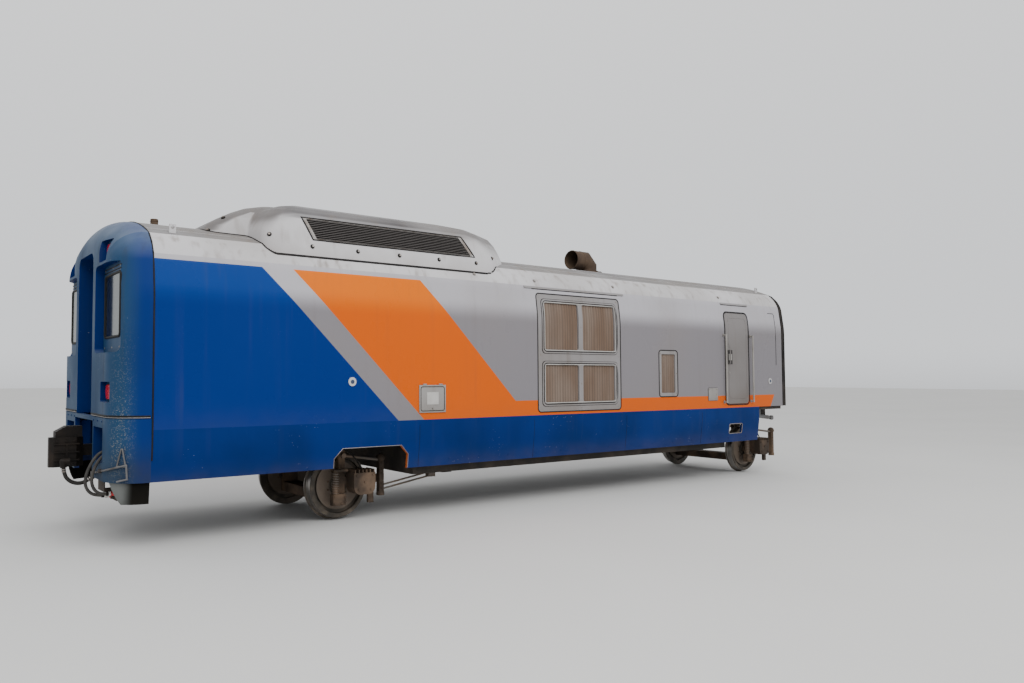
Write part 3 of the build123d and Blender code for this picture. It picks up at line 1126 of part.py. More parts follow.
# Lower guide rods from the front arm to a bracket under the belly
bracket_x = FRONT_AXLE_X + LOWER_ROD_REACH
arm_face_x = FRONT_AXLE_X + ARM_X[0] + ARM_HALF
bracket_span = (bracket_x - ROD_BRACKET[0], bracket_x + ROD_BRACKET[0])
lower_rods = block(bracket_span, (rod_y - ROD_BRACKET[1], rod_y + ROD_BRACKET[1]), (LOWER_BRACKET_Z, BELLY_Z))
for lift in (-LOWER_ROD_SPACING / 2, LOWER_ROD_SPACING / 2):
    rod_start = (arm_face_x - LOWER_ROD_R, rod_y, LOWER_ROD_Z[0] + lift)
    lower_rods += rod(rod_start, (bracket_x, rod_y, LOWER_ROD_Z[1] + lift), LOWER_ROD_R)
lower_rods -= block((arm_face_x - 2 * ARM_HALF, arm_face_x), (arm_y[0], arm_y[1]), ARM_Z)
save("guide_rods", *rods, *both(lower_rods))

# Air springs on the forks and axle boxes on their outer legs
spring_height = FLOOR_Z - FORK_TOP_Z
fold = spring_height / AIR_SPRING_FOLDS
waist_r = AIR_SPRING_R - AIR_SPRING_WAIST
outline = [Line((0, 0), (waist_r, 0))]
for count in range(AIR_SPRING_FOLDS):
    middle = (AIR_SPRING_R, (count + 0.5) * fold)
    outline.append(ThreePointArc((waist_r, count * fold), middle, (waist_r, (count + 1) * fold)))
outline += [Line((waist_r, spring_height), (0, spring_height)), Line((0, spring_height), (0, 0))]
air_spring = revolve(Plane.XZ * make_face(outline), axis=Axis.Z)
spring_y = (inner_leg[1] + outer_leg[0]) / 2
box_y = (outer_leg[0] - BOX_DEPTH, outer_leg[0])
box_outline = Rectangle(BOX_X[1] - BOX_X[0], BOX_Z[1] - BOX_Z[0])
box_outline = fillet(box_outline.vertices().sort_by(Axis.Y)[:2], radius=BOX_ROUND)
box_middle = ((BOX_X[0] + BOX_X[1]) / 2, box_y[1], (BOX_Z[0] + BOX_Z[1]) / 2)
axle_box = extrude(Plane(origin=box_middle, x_dir=(1, 0, 0), z_dir=(0, -1, 0)) * box_outline, amount=BOX_DEPTH)
fin_x = inset(BOX_X, BOX_FIN_THICK)
fin_pitch = (fin_x[1] - fin_x[0] - BOX_FIN_THICK) / (BOX_FINS - 1)
for count in range(BOX_FINS):
    start = fin_x[0] + count * fin_pitch
    axle_box += block((start, start + BOX_FIN_THICK), box_y, (BOX_Z[1], BOX_Z[1] + BOX_FIN_HEIGHT))
hanger_y = ((box_y[0] + box_y[1] - HANGER_THICK) / 2, (box_y[0] + box_y[1] + HANGER_THICK) / 2)
axle_box += block(HANGER_X, hanger_y, (HANGER_Z, box_middle[2]))
air_springs = []
axle_boxes = []
for axle_x in AXLE_X:
    air_springs += both(Pos(axle_x, spring_y, FORK_TOP_Z) * air_spring)
    axle_boxes += both(Pos(axle_x, 0, 0) * axle_box)
save("air_springs", *air_springs)
save("axle_boxes", *axle_boxes)

# Inner dampers: cylinders under the inner end, whose far eyes belong on the next car
damper_x = from_end(DAMPER_BACK)
damper_low_z = DAMPER_Z - DAMPER_DROP
damper_slope = DAMPER_DROP / (damper_x[1] - damper_x[0])
bar_start_x = damper_x[1] - DAMPER_BAR
bar_start = (bar_start_x, -DAMPER_Y, DAMPER_Z - damper_slope * (bar_start_x - damper_x[0]))
damper = rod((damper_x[0], -DAMPER_Y, DAMPER_Z), bar_start, DAMPER_R)
damper += rod(bar_start, (damper_x[1], -DAMPER_Y, damper_low_z), DAMPER_BAR_R)
eye_ends = (-DAMPER_Y - DAMPER_EYE / 2, -DAMPER_Y + DAMPER_EYE / 2)
damper += rod((damper_x[1], eye_ends[0], damper_low_z), (damper_x[1], eye_ends[1], damper_low_z), DAMPER_EYE_R)
mount_x = (damper_x[0] - DAMPER_BRACKET, damper_x[0] + DAMPER_R)
damper += block(mount_x, (-DAMPER_Y - DAMPER_R, -SILL_BEAM_Y[1]), (DAMPER_Z - DAMPER_R, FLOOR_Z))
save("inner_dampers", *both(damper))
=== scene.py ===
import math

import bmesh
import bpy
from mathutils import Matrix, Vector
from mathutils.bvhtree import BVHTree
from mathutils.geometry import interpolate_bezier


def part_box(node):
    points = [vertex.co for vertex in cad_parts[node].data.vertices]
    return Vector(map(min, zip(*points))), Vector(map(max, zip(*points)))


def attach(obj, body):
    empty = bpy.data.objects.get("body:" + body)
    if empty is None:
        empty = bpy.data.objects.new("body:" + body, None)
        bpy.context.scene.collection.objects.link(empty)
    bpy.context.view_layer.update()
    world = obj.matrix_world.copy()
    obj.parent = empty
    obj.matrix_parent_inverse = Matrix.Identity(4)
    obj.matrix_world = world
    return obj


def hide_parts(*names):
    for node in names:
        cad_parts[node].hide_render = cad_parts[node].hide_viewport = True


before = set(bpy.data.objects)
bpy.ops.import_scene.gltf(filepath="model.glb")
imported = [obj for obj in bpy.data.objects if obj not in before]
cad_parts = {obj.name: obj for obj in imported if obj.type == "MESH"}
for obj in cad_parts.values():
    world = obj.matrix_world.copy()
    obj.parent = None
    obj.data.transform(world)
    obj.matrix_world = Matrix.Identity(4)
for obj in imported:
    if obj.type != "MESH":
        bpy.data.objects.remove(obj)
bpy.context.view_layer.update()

# The viewpoint: eye height beside the track, 8.6 m from the near side and 2.5 m ahead of the nose
# seam. The picture is a crop, so the lens axis lies left of its middle, and the coach's long lines
# run to a vanishing point right of the frame.
PICTURE_WIDTH = 1024
PICTURE_HEIGHT = 683
FOCAL_PIXELS = 771.0
LENS_AXIS_PIXEL = (400.0, 341.5)
VANISHING_PIXEL = (1554.0, 375.5)
SENSOR = 36.0
FAR_CLIP = 500.0
EYE_AHEAD = 2.479
EYE_ASIDE = 8.63
EYE_HEIGHT = 1.93
HALF_WIDTH = 1.47
SEAM_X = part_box("side_wall_right")[0].x
RAIL_Z = 0.028


def at(x, y, z):
    """A point of the coach: x from the nose seam, y to its left, z from the rail head."""
    return Vector((SEAM_X + x, y, RAIL_Z + z))


def link(name, data):
    """New object in the scene."""
    piece = bpy.data.objects.new(name, data)
    bpy.context.scene.collection.objects.link(piece)
    return piece


camera_data = bpy.data.cameras.new("camera")
camera = link("camera", camera_data)
bpy.context.scene.camera = camera
camera_data.sensor_width = SENSOR
camera_data.lens = FOCAL_PIXELS / PICTURE_WIDTH * SENSOR
camera_data.shift_x = (PICTURE_WIDTH / 2 - LENS_AXIS_PIXEL[0]) / PICTURE_WIDTH
camera_data.shift_y = -(PICTURE_HEIGHT / 2 - LENS_AXIS_PIXEL[1]) / PICTURE_WIDTH
camera_data.clip_end = FAR_CLIP
vanish = [pixel - axis for pixel, axis in zip(VANISHING_PIXEL, LENS_AXIS_PIXEL)]
along = Vector((*vanish, FOCAL_PIXELS)).normalized()
upward = along.cross(Vector((1, 0, 0))).normalized()
if upward.y > 0:
    upward = -upward
across = upward.cross(along)
eye = at(-EYE_AHEAD, -HALF_WIDTH - EYE_ASIDE, EYE_HEIGHT)
rows = [(row.x, -row.y, -row.z, place) for row, place in zip((along, across, upward), eye)]
camera.matrix_world = Matrix((*rows, (0, 0, 0, 1)))

# The studio: a pale floor under the wheels, an even sky that is brightest overhead, and one
# broad lamp above the near side, as under a bright overcast day.
FLOOR_HALF = 120.0
FLOOR_TINTS = ((0.5, 0.5, 0.49), (0.56, 0.56, 0.55))
SKY_LOW = (0.3, 0.3, 0.3)
SKY_MIDDLE = (0.88, 0.9, 0.93)
SKY_TOP = (1.1, 1.1, 1.1)
SKY_STRENGTH = 1.15
LAMP_SIZE = (26.0, 9.0)
LAMP_PLACE = (2.0, -14.0, 14.0)
LAMP_AIM = (6.0, 0, 1.5)
LAMP_POWER = 3400.0


class Flow:
    """A node's output to calculate with, such as flow * 2 or flow < 3."""

    def __init__(self, socket):
        self.socket = socket
        self.tree = socket.id_data

    def __add__(self, other):
        return calc("ADD", self, other)

    def __sub__(self, other):
        return calc("SUBTRACT", self, other)

    def __rsub__(self, other):
        return calc("SUBTRACT", other, self)

    def __mul__(self, other):
        return calc("MULTIPLY", self, other)

    def __truediv__(self, other):
        return calc("DIVIDE", self, other)

    def __lt__(self, other):
        return calc("LESS_THAN", self, other)

    def __gt__(self, other):
        return calc("GREATER_THAN", self, other)

    def __abs__(self):
        return calc("ABSOLUTE", self)


def feed(node, values):
    """Fills a node's inputs by name or number, each from a flow, a list of flows or a value."""
    for key, value in dict(values).items():
        for item in value if isinstance(value, list) else [value]:
            if isinstance(item, Flow):
                node.id_data.links.new(item.socket, node.inputs[key])
            else:
                is_colour = node.inputs[key].type == "RGBA"
                node.inputs[key].default_value = (*item, 1) if is_colour else item


def put(kind, values=(), output=0, tree=None, **settings):
    """Adds a node to its inputs' tree, or to the one that is given, and gives one output back."""
    tree = tree or next(value.tree for value in dict(values).values() if isinstance(value, Flow))
    node = tree.nodes.new(kind)
    for key, value in settings.items():
        setattr(node, key, value)
    feed(node, values)
    return Flow(node.outputs[output])


def calc(operation, *values, clamp=False):
    """Result of one sum on flows or numbers."""
    return put("ShaderNodeMath", dict(enumerate(values)), operation=operation, use_clamp=clamp)


def between(value, low, high):
    """Zero below low, one above high, smooth between them."""
    limits = {"Value": value, "From Min": low, "From Max": high}
    return put("ShaderNodeMapRange", limits, interpolation_type="SMOOTHSTEP")


def mix(share, first, second):
    """Mix of two colours by a share."""
    return put("ShaderNodeMix", {0: share, 6: first, 7: second}, 2, data_type="RGBA")


def split(flow):
    """The three numbers of a vector."""
    node = put("ShaderNodeSeparateXYZ", {0: flow}).socket.node
    return [Flow(socket) for socket in node.outputs]


def cloud(place, scale, detail=4.0, stretch=None):
    """Noise from 0 to 1 over a place, drawn out where a stretch is given."""
    if stretch:
        place = put("ShaderNodeMapping", {"Vector": place, "Scale": stretch})
    return put("ShaderNodeTexNoise", {"Vector": place, "Scale": scale, "Detail": detail}, "Fac")


def new_mesh(name, points, edges=(), faces=()):
    """New mesh from points and what joins them."""
    mesh = bpy.data.meshes.new(name)
    mesh.from_pydata([tuple(point) for point in points], edges, faces)
    return mesh


def start_material(name):
    """New material with its shader and Object coordinates."""
    material = bpy.data.materials.new(name)
    material.use_nodes = True
    place = put("ShaderNodeTexCoord", output="Object", tree=material.node_tree)
    return material, material.node_tree.nodes["Principled BSDF"], place


world = bpy.data.worlds.new("studio")
bpy.context.scene.world = world
world.use_nodes = True
sky_up = split(put("ShaderNodeTexCoord", output="Generated", tree=world.node_tree))[2]
sky_colour = mix(between(sky_up, -0.12, 0.04), SKY_LOW, SKY_MIDDLE)
sky_colour = mix(between(sky_up, 0.04, 0.75), sky_colour, SKY_TOP)
feed(world.node_tree.nodes["Background"], {"Color": sky_colour, "Strength": SKY_STRENGTH})
lamp_data = bpy.data.lights.new("overhead", "AREA")
lamp_data.shape = "RECTANGLE"
lamp_data.size, lamp_data.size_y = LAMP_SIZE
lamp_data.energy = LAMP_POWER
lamp = link("overhead", lamp_data)
lamp.location = at(*LAMP_PLACE)
lamp.rotation_euler = (at(*LAMP_AIM) - lamp.location).to_track_quat("-Z", "Y").to_euler()
floor_corners = [(x * FLOOR_HALF, y * FLOOR_HALF, 0) for x, y in ((-1, -1), (1, -1), (1, 1), (-1, 1))]
floor_mesh = new_mesh("studio_floor", floor_corners, faces=[(0, 1, 2, 3)])
studio_floor = link("studio_floor", floor_mesh)
floor_material, shader, place = start_material("pale_floor")
feed(shader, {"Base Color": mix(cloud(place, 0.25, 2.0), *FLOOR_TINTS), "Roughness": 0.85})
floor_mesh.materials.append(floor_material)

# The jumper cables and the brake hose: two thick grey sheathed cables that drop from plugs in the
# nose's socket pocket and curve up to their parking box, and a black rubber hose that hangs from
# its cock to its head on the coupler's hook.
CABLE_DIAMETER = 0.036
CABLE_ROUTES = {
    "jumper_cable_a": (
        (-0.330, -0.830, 1.075), (-0.400, -0.828, 1.052), (-0.463, -0.825, 0.985), (-0.515, -0.822, 0.895),
        (-0.552, -0.820, 0.795), (-0.560, -0.820, 0.695), (-0.520, -0.822, 0.610), (-0.440, -0.826, 0.565),
        (-0.350, -0.830, 0.560),
    ),
    "jumper_cable_b": (
        (-0.330, -0.905, 1.045), (-0.393, -0.903, 1.017), (-0.445, -0.900, 0.950), (-0.486, -0.897, 0.865),
        (-0.506, -0.895, 0.775), (-0.500, -0.895, 0.690), (-0.458, -0.897, 0.618), (-0.390, -0.900, 0.585),
        (-0.320, -0.905, 0.585),
    ),
}
CABLE_LENGTHS = {"jumper_cable_a": 0.744, "jumper_cable_b": 0.648}
HOSE_DIAMETER = 0.046
HOSE_LENGTH = 0.454
HOSE_ROUTE = (
    (-0.385, -0.330, 0.715), (-0.458, -0.334, 0.662), (-0.552, -0.340, 0.652), (-0.639, -0.346, 0.691),
    (-0.695, -0.352, 0.768), (-0.704, -0.356, 0.853),
)
CABLE_GREY = (0.022, 0.021, 0.021)
CABLE_DUST = (0.1, 0.092, 0.082)
HOSE_BLACK = (0.014, 0.013, 0.012)
PLUG_RED = (0.5, 0.018, 0.02)
PLUG_SPLIT = 0.3
PLUG_WHITE = (0.62, 0.6, 0.57)


def relief(shader, height, distance):
    """Bump from a height, in metres."""
    feed(shader, {"Normal": put("ShaderNodeBump", {"Height": height, "Distance": distance, "Strength": 1.0})})


def matt(name, colour, dust, dust_share=0.5, roughness=0.7, grain=60.0, depth=0.0008, metallic=0.0):
    """Rough surface with dust lying in clouds over it: rubber, castings and dirty steel."""
    material, shader, place = start_material(name)
    patches = between(cloud(place, 3.0, 8.0), 0.38, 0.72)
    fine = cloud(place, grain, 6.0)
    feed(shader, {
        "Base Color": mix((patches + fine * 0.4) * dust_share, colour, dust),
        "Roughness": calc("ADD", fine * 0.2, roughness - 0.1, clamp=True),
        "Metallic": metallic,
        "Specular IOR Level": 0.2,
    })
    relief(shader, fine, depth)
    return material


def dress(material, *names):
    """Gives the built pieces their finish."""
    for name in names:
        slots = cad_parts[name].data.materials
        slots.clear()
        slots.append(material)


def cord(name, route, diameter, length, far_end, other, slot_name, material):
    """A free cable or hose along its route, as a smooth NURBS line."""
    curve = bpy.data.curves.new(name, "CURVE")
    curve.dimensions = "3D"
    spline = curve.splines.new("NURBS")
    spline.points.add(len(route) - 1)
    for point, place in zip(spline.points, route):
        point.co = (*at(*place), 1.0)
    spline.order_u = 3
    spline.use_endpoint_u = True
    curve.resolution_u = 12
    curve.bevel_depth = diameter / 2
    curve.bevel_resolution = 6
    curve.use_fill_caps = True
    curve.materials.append(material)
    piece = link(name + "_sheath", curve)
    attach(piece, "coach")
    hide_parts(name)
    at(*route[0])


sheath = ("cable_grey", matt("cable_sheath", CABLE_GREY, CABLE_DUST, 0.65, 0.75))
hose_skin = ("rubber_black", matt("hose_rubber", HOSE_BLACK, CABLE_DUST, 0.25, 0.6))
for name, route in CABLE_ROUTES.items():
    cord(name, route, CABLE_DIAMETER, CABLE_LENGTHS[name], "connector", "cable_plugs", *sheath)
cord("brake_hose", HOSE_ROUTE, HOSE_DIAMETER, HOSE_LENGTH, "fitting", "hose_head", *hose_skin)
plug_shell, shader, place = start_material("plug_shell")
plug_tint = mix(split(place)[0] > SEAM_X - PLUG_SPLIT, PLUG_WHITE, PLUG_RED)
plug_tint = mix(between(cloud(place, 40.0), 0.45, 0.75), plug_tint, CABLE_GREY)
feed(shader, {"Base Color": plug_tint, "Roughness": 0.55})
relief(shader, cloud(place, 220.0), 0.0006)
dress(plug_shell, "cable_plugs")

# Underframe, floor and what hangs below them: rolled beams, plate and a folded belly pan, all
# painted dark long ago and now under brake dust. The floor and the generator set stay inside.
BRAKE_DUST = (0.075, 0.058, 0.045)
frame_paint = matt("frame_paint", (0.018, 0.017, 0.016), BRAKE_DUST, 0.6, 0.75, 45.0, 0.0012)
dress(frame_paint, "underframe", "floor", "belly_pan", "jacking_pads", "inner_drawbar", "headstock")
dress(matt("engine_paint", (0.1, 0.11, 0.11), BRAKE_DUST, 0.35, 0.6), "generator_set")
dress(matt("damper_paint", (0.16, 0.165, 0.17), BRAKE_DUST, 0.7, 0.5), "inner_dampers")

# Skirts: long pressed panels of painted sheet screwed under the sill, with the wheel arch and a
# step hole cut out and rimmed. The blue has faded unevenly, with white scuffs and a dirty foot.
BLUE = (0.0, 0.018, 0.12)
BLUE_DEEP = (0.0, 0.01, 0.055)
ROAD_DIRT = (0.1, 0.075, 0.055)
STONE_WHITE = (0.5, 0.51, 0.52)
PRIMER_RUST = (0.42, 0.09, 0.015)
ARCH_RIM = ((2.304, 0.75), (2.304, 0.87), (2.424, 0.996), (3.326, 0.996), (3.446, 0.87), (3.446, 0.69))
ARCH_REAR = 3.4
SKIRT_JOINTS = (3.62, 5.75, 7.85, 9.9)
SKIRT_HEIGHTS = (0.69, 1.326)
STEP_HOLE = (10.75, 11.16, 0.84, 1.02)
SKIRT_BEND = 1.1
SKIRT_LEAN = 0.09 / 0.7
LOCKS = [(0.3 + 0.55 * i, 0.765) for i in range(21) if i not in (4, 5)]
SIDES = (("right", -1), ("left", 1))


def enamel(name, colour, dull=None, dull_share=0.3, dirt=ROAD_DIRT, streaks=0.3, foot=(0.62, 1.2, 0.5),
           chips=0.2, chip_colour=STONE_WHITE, roughness=0.3, waves=0.0015, gloss=0.35):
    """Sprayed enamel weathered outdoors: faded in clouds, streaked by rain, dirty at its foot and
    chipped. The colour is a tint or a function that paints one."""
    material, shader, place = start_material(name)
    paint = colour(place) if callable(colour) else colour
    clouds = between(cloud(place, 0.9, 9.0), 0.35, 0.7)
    if dull:
        paint = mix(clouds * dull_share, paint, dull)
    runs = between(cloud(place, 1.0, 6.0, (9.0, 9.0, 0.35)), 0.5, 0.8) * (cloud(place, 1.7) * (streaks * 2.0))
    foot_low, foot_high, foot_share = foot
    low = between(split(place)[2], RAIL_Z + foot_high, RAIL_Z + foot_low)
    soil = calc("MAXIMUM", runs, cloud(place, 4.0, 9.0) * (foot_share * 2.0) * low, clamp=True)
    specks = put("ShaderNodeTexVoronoi", {"Vector": place, "Scale": 26.0}, "Distance")
    specks = between(specks, 0.11, 0.04) * (between(cloud(place, 2.2, 6.0), 0.54, 0.66) * chips)
    feed(shader, {
        "Base Color": mix(specks, mix(soil, paint, dirt), chip_colour),
        "Roughness": calc("ADD", (soil + clouds) * 0.18, roughness, clamp=True),
        "Specular IOR Level": gloss,
    })
    relief(shader, cloud(place, 1.3, 1.0) + cloud(place, 260.0, 2.0) * 0.05, waves)
    return material


def facing_of(place):
    """The way a surface looks, as three numbers."""
    return split(put("ShaderNodeNewGeometry", output="Normal", tree=place.tree))


def skirt_paint(place):
    """Blue, with rusty primer bare on the rear edge of the wheel arch."""
    on_edge = facing_of(place)[0] < -0.7
    near_arch = abs(split(place)[0] - (SEAM_X + ARCH_REAR)) < 0.15
    return mix(on_edge * near_arch, BLUE, PRIMER_RUST)


skirt_enamel = enamel("skirt_enamel", skirt_paint, BLUE_DEEP, 0.5, streaks=0.06, foot=(0.66, 1.0, 0.12),
                      chips=0.8, roughness=0.36, gloss=0.08)
dress(skirt_enamel, "skirt_right", "skirt_left")
skins = {}


def touch(start, way, *names):
    """First point, and the way the surface faces there, that a line meets on the built pieces."""
    met = []
    for name in names:
        if name not in skins:
            skins[name] = BVHTree.FromObject(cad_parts[name], bpy.context.evaluated_depsgraph_get())
        place, facing, _, reach = skins[name].ray_cast(start, Vector(way))
        if place:
            met.append((reach, place, facing))
    return min(met, key=lambda row: row[0])[1:]


def flank(x, z, side, *names):
    """Point and facing on the outside of one flank."""
    return touch(at(x, side * 2.5, z), (0, -side, 0), *names)


def start_tree(name, inputs):
    """New tree with named inputs, from whole numbers or lengths, and the flows they give."""
    tree = bpy.data.node_groups.new(name, "GeometryNodeTree")
    tree.interface.new_socket("Geometry", in_out="INPUT", socket_type="NodeSocketGeometry")
    for label, value in inputs.items():
        kind = "NodeSocketInt" if isinstance(value, int) else "NodeSocketFloat"
        tree.interface.new_socket(label, in_out="INPUT", socket_type=kind).default_value = value
    tree.interface.new_socket("Material", in_out="INPUT", socket_type="NodeSocketMaterial")
    tree.interface.new_socket("Geometry", in_out="OUTPUT", socket_type="NodeSocketGeometry")
    return tree, {socket.name: Flow(socket) for socket in tree.nodes.new("NodeGroupInput").outputs}


def end_tree(tree, given, shape):
    """Ends a tree with plain geometry in the wanted material."""
    solid = put("GeometryNodeRealizeInstances", {0: shape})
    solid = put("GeometryNodeSetMaterial", {"Geometry": solid, "Material": given["Material"]})
    feed(tree.nodes.new("NodeGroupOutput"), {0: solid})


def grow(name, tree, mesh, values, body, slot_name, material):
    """Piece from a mesh and a tree, frozen into a plain mesh that rides on a body."""
    piece = link(name, mesh)
    modifier = piece.modifiers.new(tree.name, "NODES")
    modifier.node_group = tree
    wanted = {**values, "Material": material}
    for item in tree.interface.items_tree:
        if item.in_out == "INPUT" and item.name in wanted:
            modifier[item.identifier] = wanted[item.name]
    view = bpy.context.evaluated_depsgraph_get()
    frozen = bpy.data.meshes.new_from_object(piece.evaluated_get(view))
    piece.modifiers.clear()
    piece.data = frozen
    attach(piece, body)
    return piece


bead_tree, given = start_tree("bead", {"Radius": 0.005, "Facets": 8})
line = put("GeometryNodeMeshToCurve", {"Mesh": given["Geometry"]})
ring = put("GeometryNodeCurvePrimitiveCircle", {"Resolution": given["Facets"], "Radius": given["Radius"]})
tube = put("GeometryNodeCurveToMesh", {"Curve": line, "Profile Curve": ring, "Fill Caps": True})
end_tree(bead_tree, given, put("GeometryNodeSetShadeSmooth", {0: tube}))

bolt_tree, given = start_tree("fasteners", {
    "Head Radius": 0.008,
    "Head Height": 0.005,
    "Head Sides": 6,
    "Washer Radius": 0.012,
    "Seed": 3,
})
head = {"Vertices": given["Head Sides"], "Radius": given["Head Radius"], "Depth": given["Head Height"]}
lift = put("ShaderNodeCombineXYZ", {"Z": given["Head Height"] * 0.6})
head = put("GeometryNodeTransform", {"Geometry": put("GeometryNodeMeshCylinder", head), "Translation": lift})
washer = {"Vertices": 20, "Radius": given["Washer Radius"], "Depth": given["Head Height"] * 0.5}
bolt = put("GeometryNodeJoinGeometry", {0: [head, put("GeometryNodeMeshCylinder", washer)]}, tree=bolt_tree)
look = put("GeometryNodeInputNamedAttribute", {"Name": "facing"}, tree=bolt_tree, data_type="FLOAT_VECTOR")
turned = put("FunctionNodeAlignRotationToVector", {"Vector": look}, axis="Z")
spin = put("FunctionNodeRandomValue", {"Max": math.tau, "Seed": given["Seed"]}, "Value", data_type="FLOAT")
spin = put("FunctionNodeEulerToRotation", {0: put("ShaderNodeCombineXYZ", {"Z": spin})})
turned = put("FunctionNodeRotateRotation", {"Rotation": turned, "Rotate By": spin}, rotation_space="LOCAL")
spread = {"Points": given["Geometry"], "Instance": bolt, "Rotation": turned}
end_tree(bolt_tree, given, put("GeometryNodeInstanceOnPoints", spread))


def beads(name, paths, radius, slot_name, material, body="coach", closed=False, facets=8):
    """Round beads along paths of points: seals, weld seams, rims and bent wires."""
    points, edges = [], []
    for path in paths:
        start = len(points)
        points += path
        edges += [(start + i, start + i + 1) for i in range(len(path) - 1)]
        if closed:
            edges.append((len(points) - 1, start))
    values = {"Radius": radius, "Facets": facets}
    return grow(name, bead_tree, new_mesh(name, points, edges), values, body, slot_name, material)


def bolts(name, spots, radius, height, slot_name, material, body="coach", sides=6, washer=None):
    """Bolt or screw heads at spots, each a point with the way it faces."""
    mesh = new_mesh(name, [place for place, _ in spots])
    facings = mesh.attributes.new("facing", "FLOAT_VECTOR", "POINT")
    for item, (_, facing) in zip(facings.data, spots):
        item.vector = facing
    values = {"Head Radius": radius, "Head Height": height, "Head Sides": sides, "Seed": 3,
              "Washer Radius": washer or radius * 1.6}
    return grow(name, bolt_tree, mesh, values, body, slot_name, material)


def steps(low, high, count):
    """Even steps from low towards high."""
    return [low + (high - low) * i / count for i in range(count)]


def rounded(x_low, x_high, z_low, z_high, corner, parts=5):
    """Closed outline of a rounded rectangle as pairs of numbers."""
    outline = []
    corners = ((x_high, z_high, 0), (x_low, z_high, 90), (x_low, z_low, 180), (x_high, z_low, 270))
    for x, z, turn in corners:
        middle_x = x + (corner if x == x_low else -corner)
        middle_z = z + (corner if z == z_low else -corner)
        for i in range(parts + 1):
            angle = math.radians(turn + 90 * i / parts)
            outline.append((middle_x + corner * math.cos(angle), middle_z + corner * math.sin(angle)))
    return outline


rubber = ("rubber_black", matt("seal_rubber", (0.004, 0.004, 0.004), BRAKE_DUST, 0.1, 0.6))
worn_steel = matt("worn_steel", (0.28, 0.27, 0.26), (0.2, 0.14, 0.1), 0.6, 0.45, 60.0, 0.0005, 0.7)
steel = ("bare_steel", worn_steel)
for side_name, side in SIDES:
    skirt = "skirt_" + side_name
    joints = [[flank(x, z, side, skirt)[0] for z in steps(*SKIRT_HEIGHTS, 10)] for x in SKIRT_JOINTS]
    beads("skirt_joints_" + side_name, joints, 0.0025, *rubber)
    hole = rounded(*STEP_HOLE, 0.03)
    rim = [at(x, side * (HALF_WIDTH - SKIRT_LEAN * (SKIRT_BEND - z)), z) for x, z in hole]
    beads("skirt_rims_" + side_name, [rim], 0.007, "skirt_paint", worn_steel, closed=True)
    arch = [flank(x, z, side, skirt)[0] for x, z in ARCH_RIM]
    beads("arch_rim_" + side_name, [arch], 0.005, "skirt_paint", worn_steel)
    locks = [flank(*place, side, skirt) for place in LOCKS]
    bolts("skirt_locks_" + side_name, locks, 0.011, 0.004, "skirt_paint", skirt_enamel, sides=16,
          washer=0.016)

# Side walls: sheet welded over the frame from sill to cant rail. The sprayed livery is silver grey
# with a slanted blue field, a bare band and an orange band that runs on as a stripe along the sill.
SILVER = (0.37, 0.36, 0.385)
SILVER_LOW = (0.18, 0.17, 0.182)
SILVER_WARM = (0.2, 0.175, 0.155)
ORANGE = (0.54, 0.086, 0.0)
ORANGE_SKY_REFLECTION = (0.62, 0.13, 0.0)
BLUE_FIELD = (0.0, 0.0205, 0.145)
BLUE_SKY_REFLECTION = (0.0, 0.032, 0.18)
LINING = (0.12, 0.12, 0.11)
CREASE = (2.72, 3.04)
BAND_TOP = 3.25
BLUE_EDGE = (1.31, 1.019)
ORANGE_EDGE = (1.73, 1.019)
ORANGE_BACK = (3.66, 1.008)
STRIPE_TOP = 1.553
STRIPE_END = 12.24
STRIPE_SLANT = 0.58
END_PANEL = ((12.12, 3.165), (12.31, 3.165), (12.33, 3.14), (12.33, 2.9), (12.33, 2.7), (12.33, 2.45),
             (12.33, 2.14))
REFLECTORS = ((2.55, 1.85), (12.1, 1.82))


def livery(place):
    """The painted bands of one side, by distance along the coach and height, each painted lighter above the
    crease as a painted sky reflection, and its plain inside.
    """
    x, y, z = split(place)
    run, height = x - SEAM_X, z - RAIL_Z
    drop = BAND_TOP - height
    on_blue, off_orange, on_orange = (run < drop * slant + start
                                      for start, slant in (BLUE_EDGE, ORANGE_EDGE, ORANGE_BACK))
    under_top = drop > 0.0
    stripe_end = run - height * STRIPE_SLANT < STRIPE_END - STRIPE_TOP * STRIPE_SLANT
    orange = calc("MAXIMUM", on_orange, (height < STRIPE_TOP) * stripe_end)
    orange = orange * calc("SUBTRACT", under_top, off_orange, clamp=True)
    # Painted reflection: above the crease the silver, orange and blue are each painted lighter for the sky
    # that the inward-leaning upper wall reflects, and darker below it.
    high = between(height, *CREASE)
    film = between(cloud(place, 0.6, 6.0), 0.35, 0.8) * 0.3
    painted = mix(film, mix(high, SILVER_LOW, SILVER), SILVER_WARM)
    painted = mix(orange, painted, mix(high, ORANGE, ORANGE_SKY_REFLECTION))
    painted = mix(on_blue * under_top, painted, mix(high, BLUE_FIELD, BLUE_SKY_REFLECTION))
    return mix(y * facing_of(place)[1] < -0.02, painted, LINING)


side_enamel = enamel("side_enamel", livery, streaks=0.1, foot=(1.3, 1.7, 0.08), chips=0.12, roughness=0.26,
                     waves=0.004, gloss=0.08)
dress(side_enamel, "side_wall_right", "side_wall_left")
white = ("hatch_paint", matt("reflector_white", (0.5, 0.5, 0.5), BRAKE_DUST, 0.25, 0.4))
dark = ("hatch_paint", matt("reflector_dark", (0.03, 0.05, 0.1), BRAKE_DUST, 0.25, 0.3))
for side_name, side in SIDES:
    wall = "side_wall_" + side_name
    joint = [flank(*place, side, wall)[0] for place in END_PANEL]
    beads("end_panel_joint_" + side_name, [joint], 0.006, *rubber)
    spots = [flank(*place, side, wall) for place in REFLECTORS]
    bolts("reflectors_" + side_name, spots, 0.058, 0.008, *white, sides=32, washer=0.05)
    hearts = [(place + facing * 0.004, facing) for place, facing in spots]
    bolts("reflector_hearts_" + side_name, hearts, 0.026, 0.01, *dark, sides=24, washer=0.01)

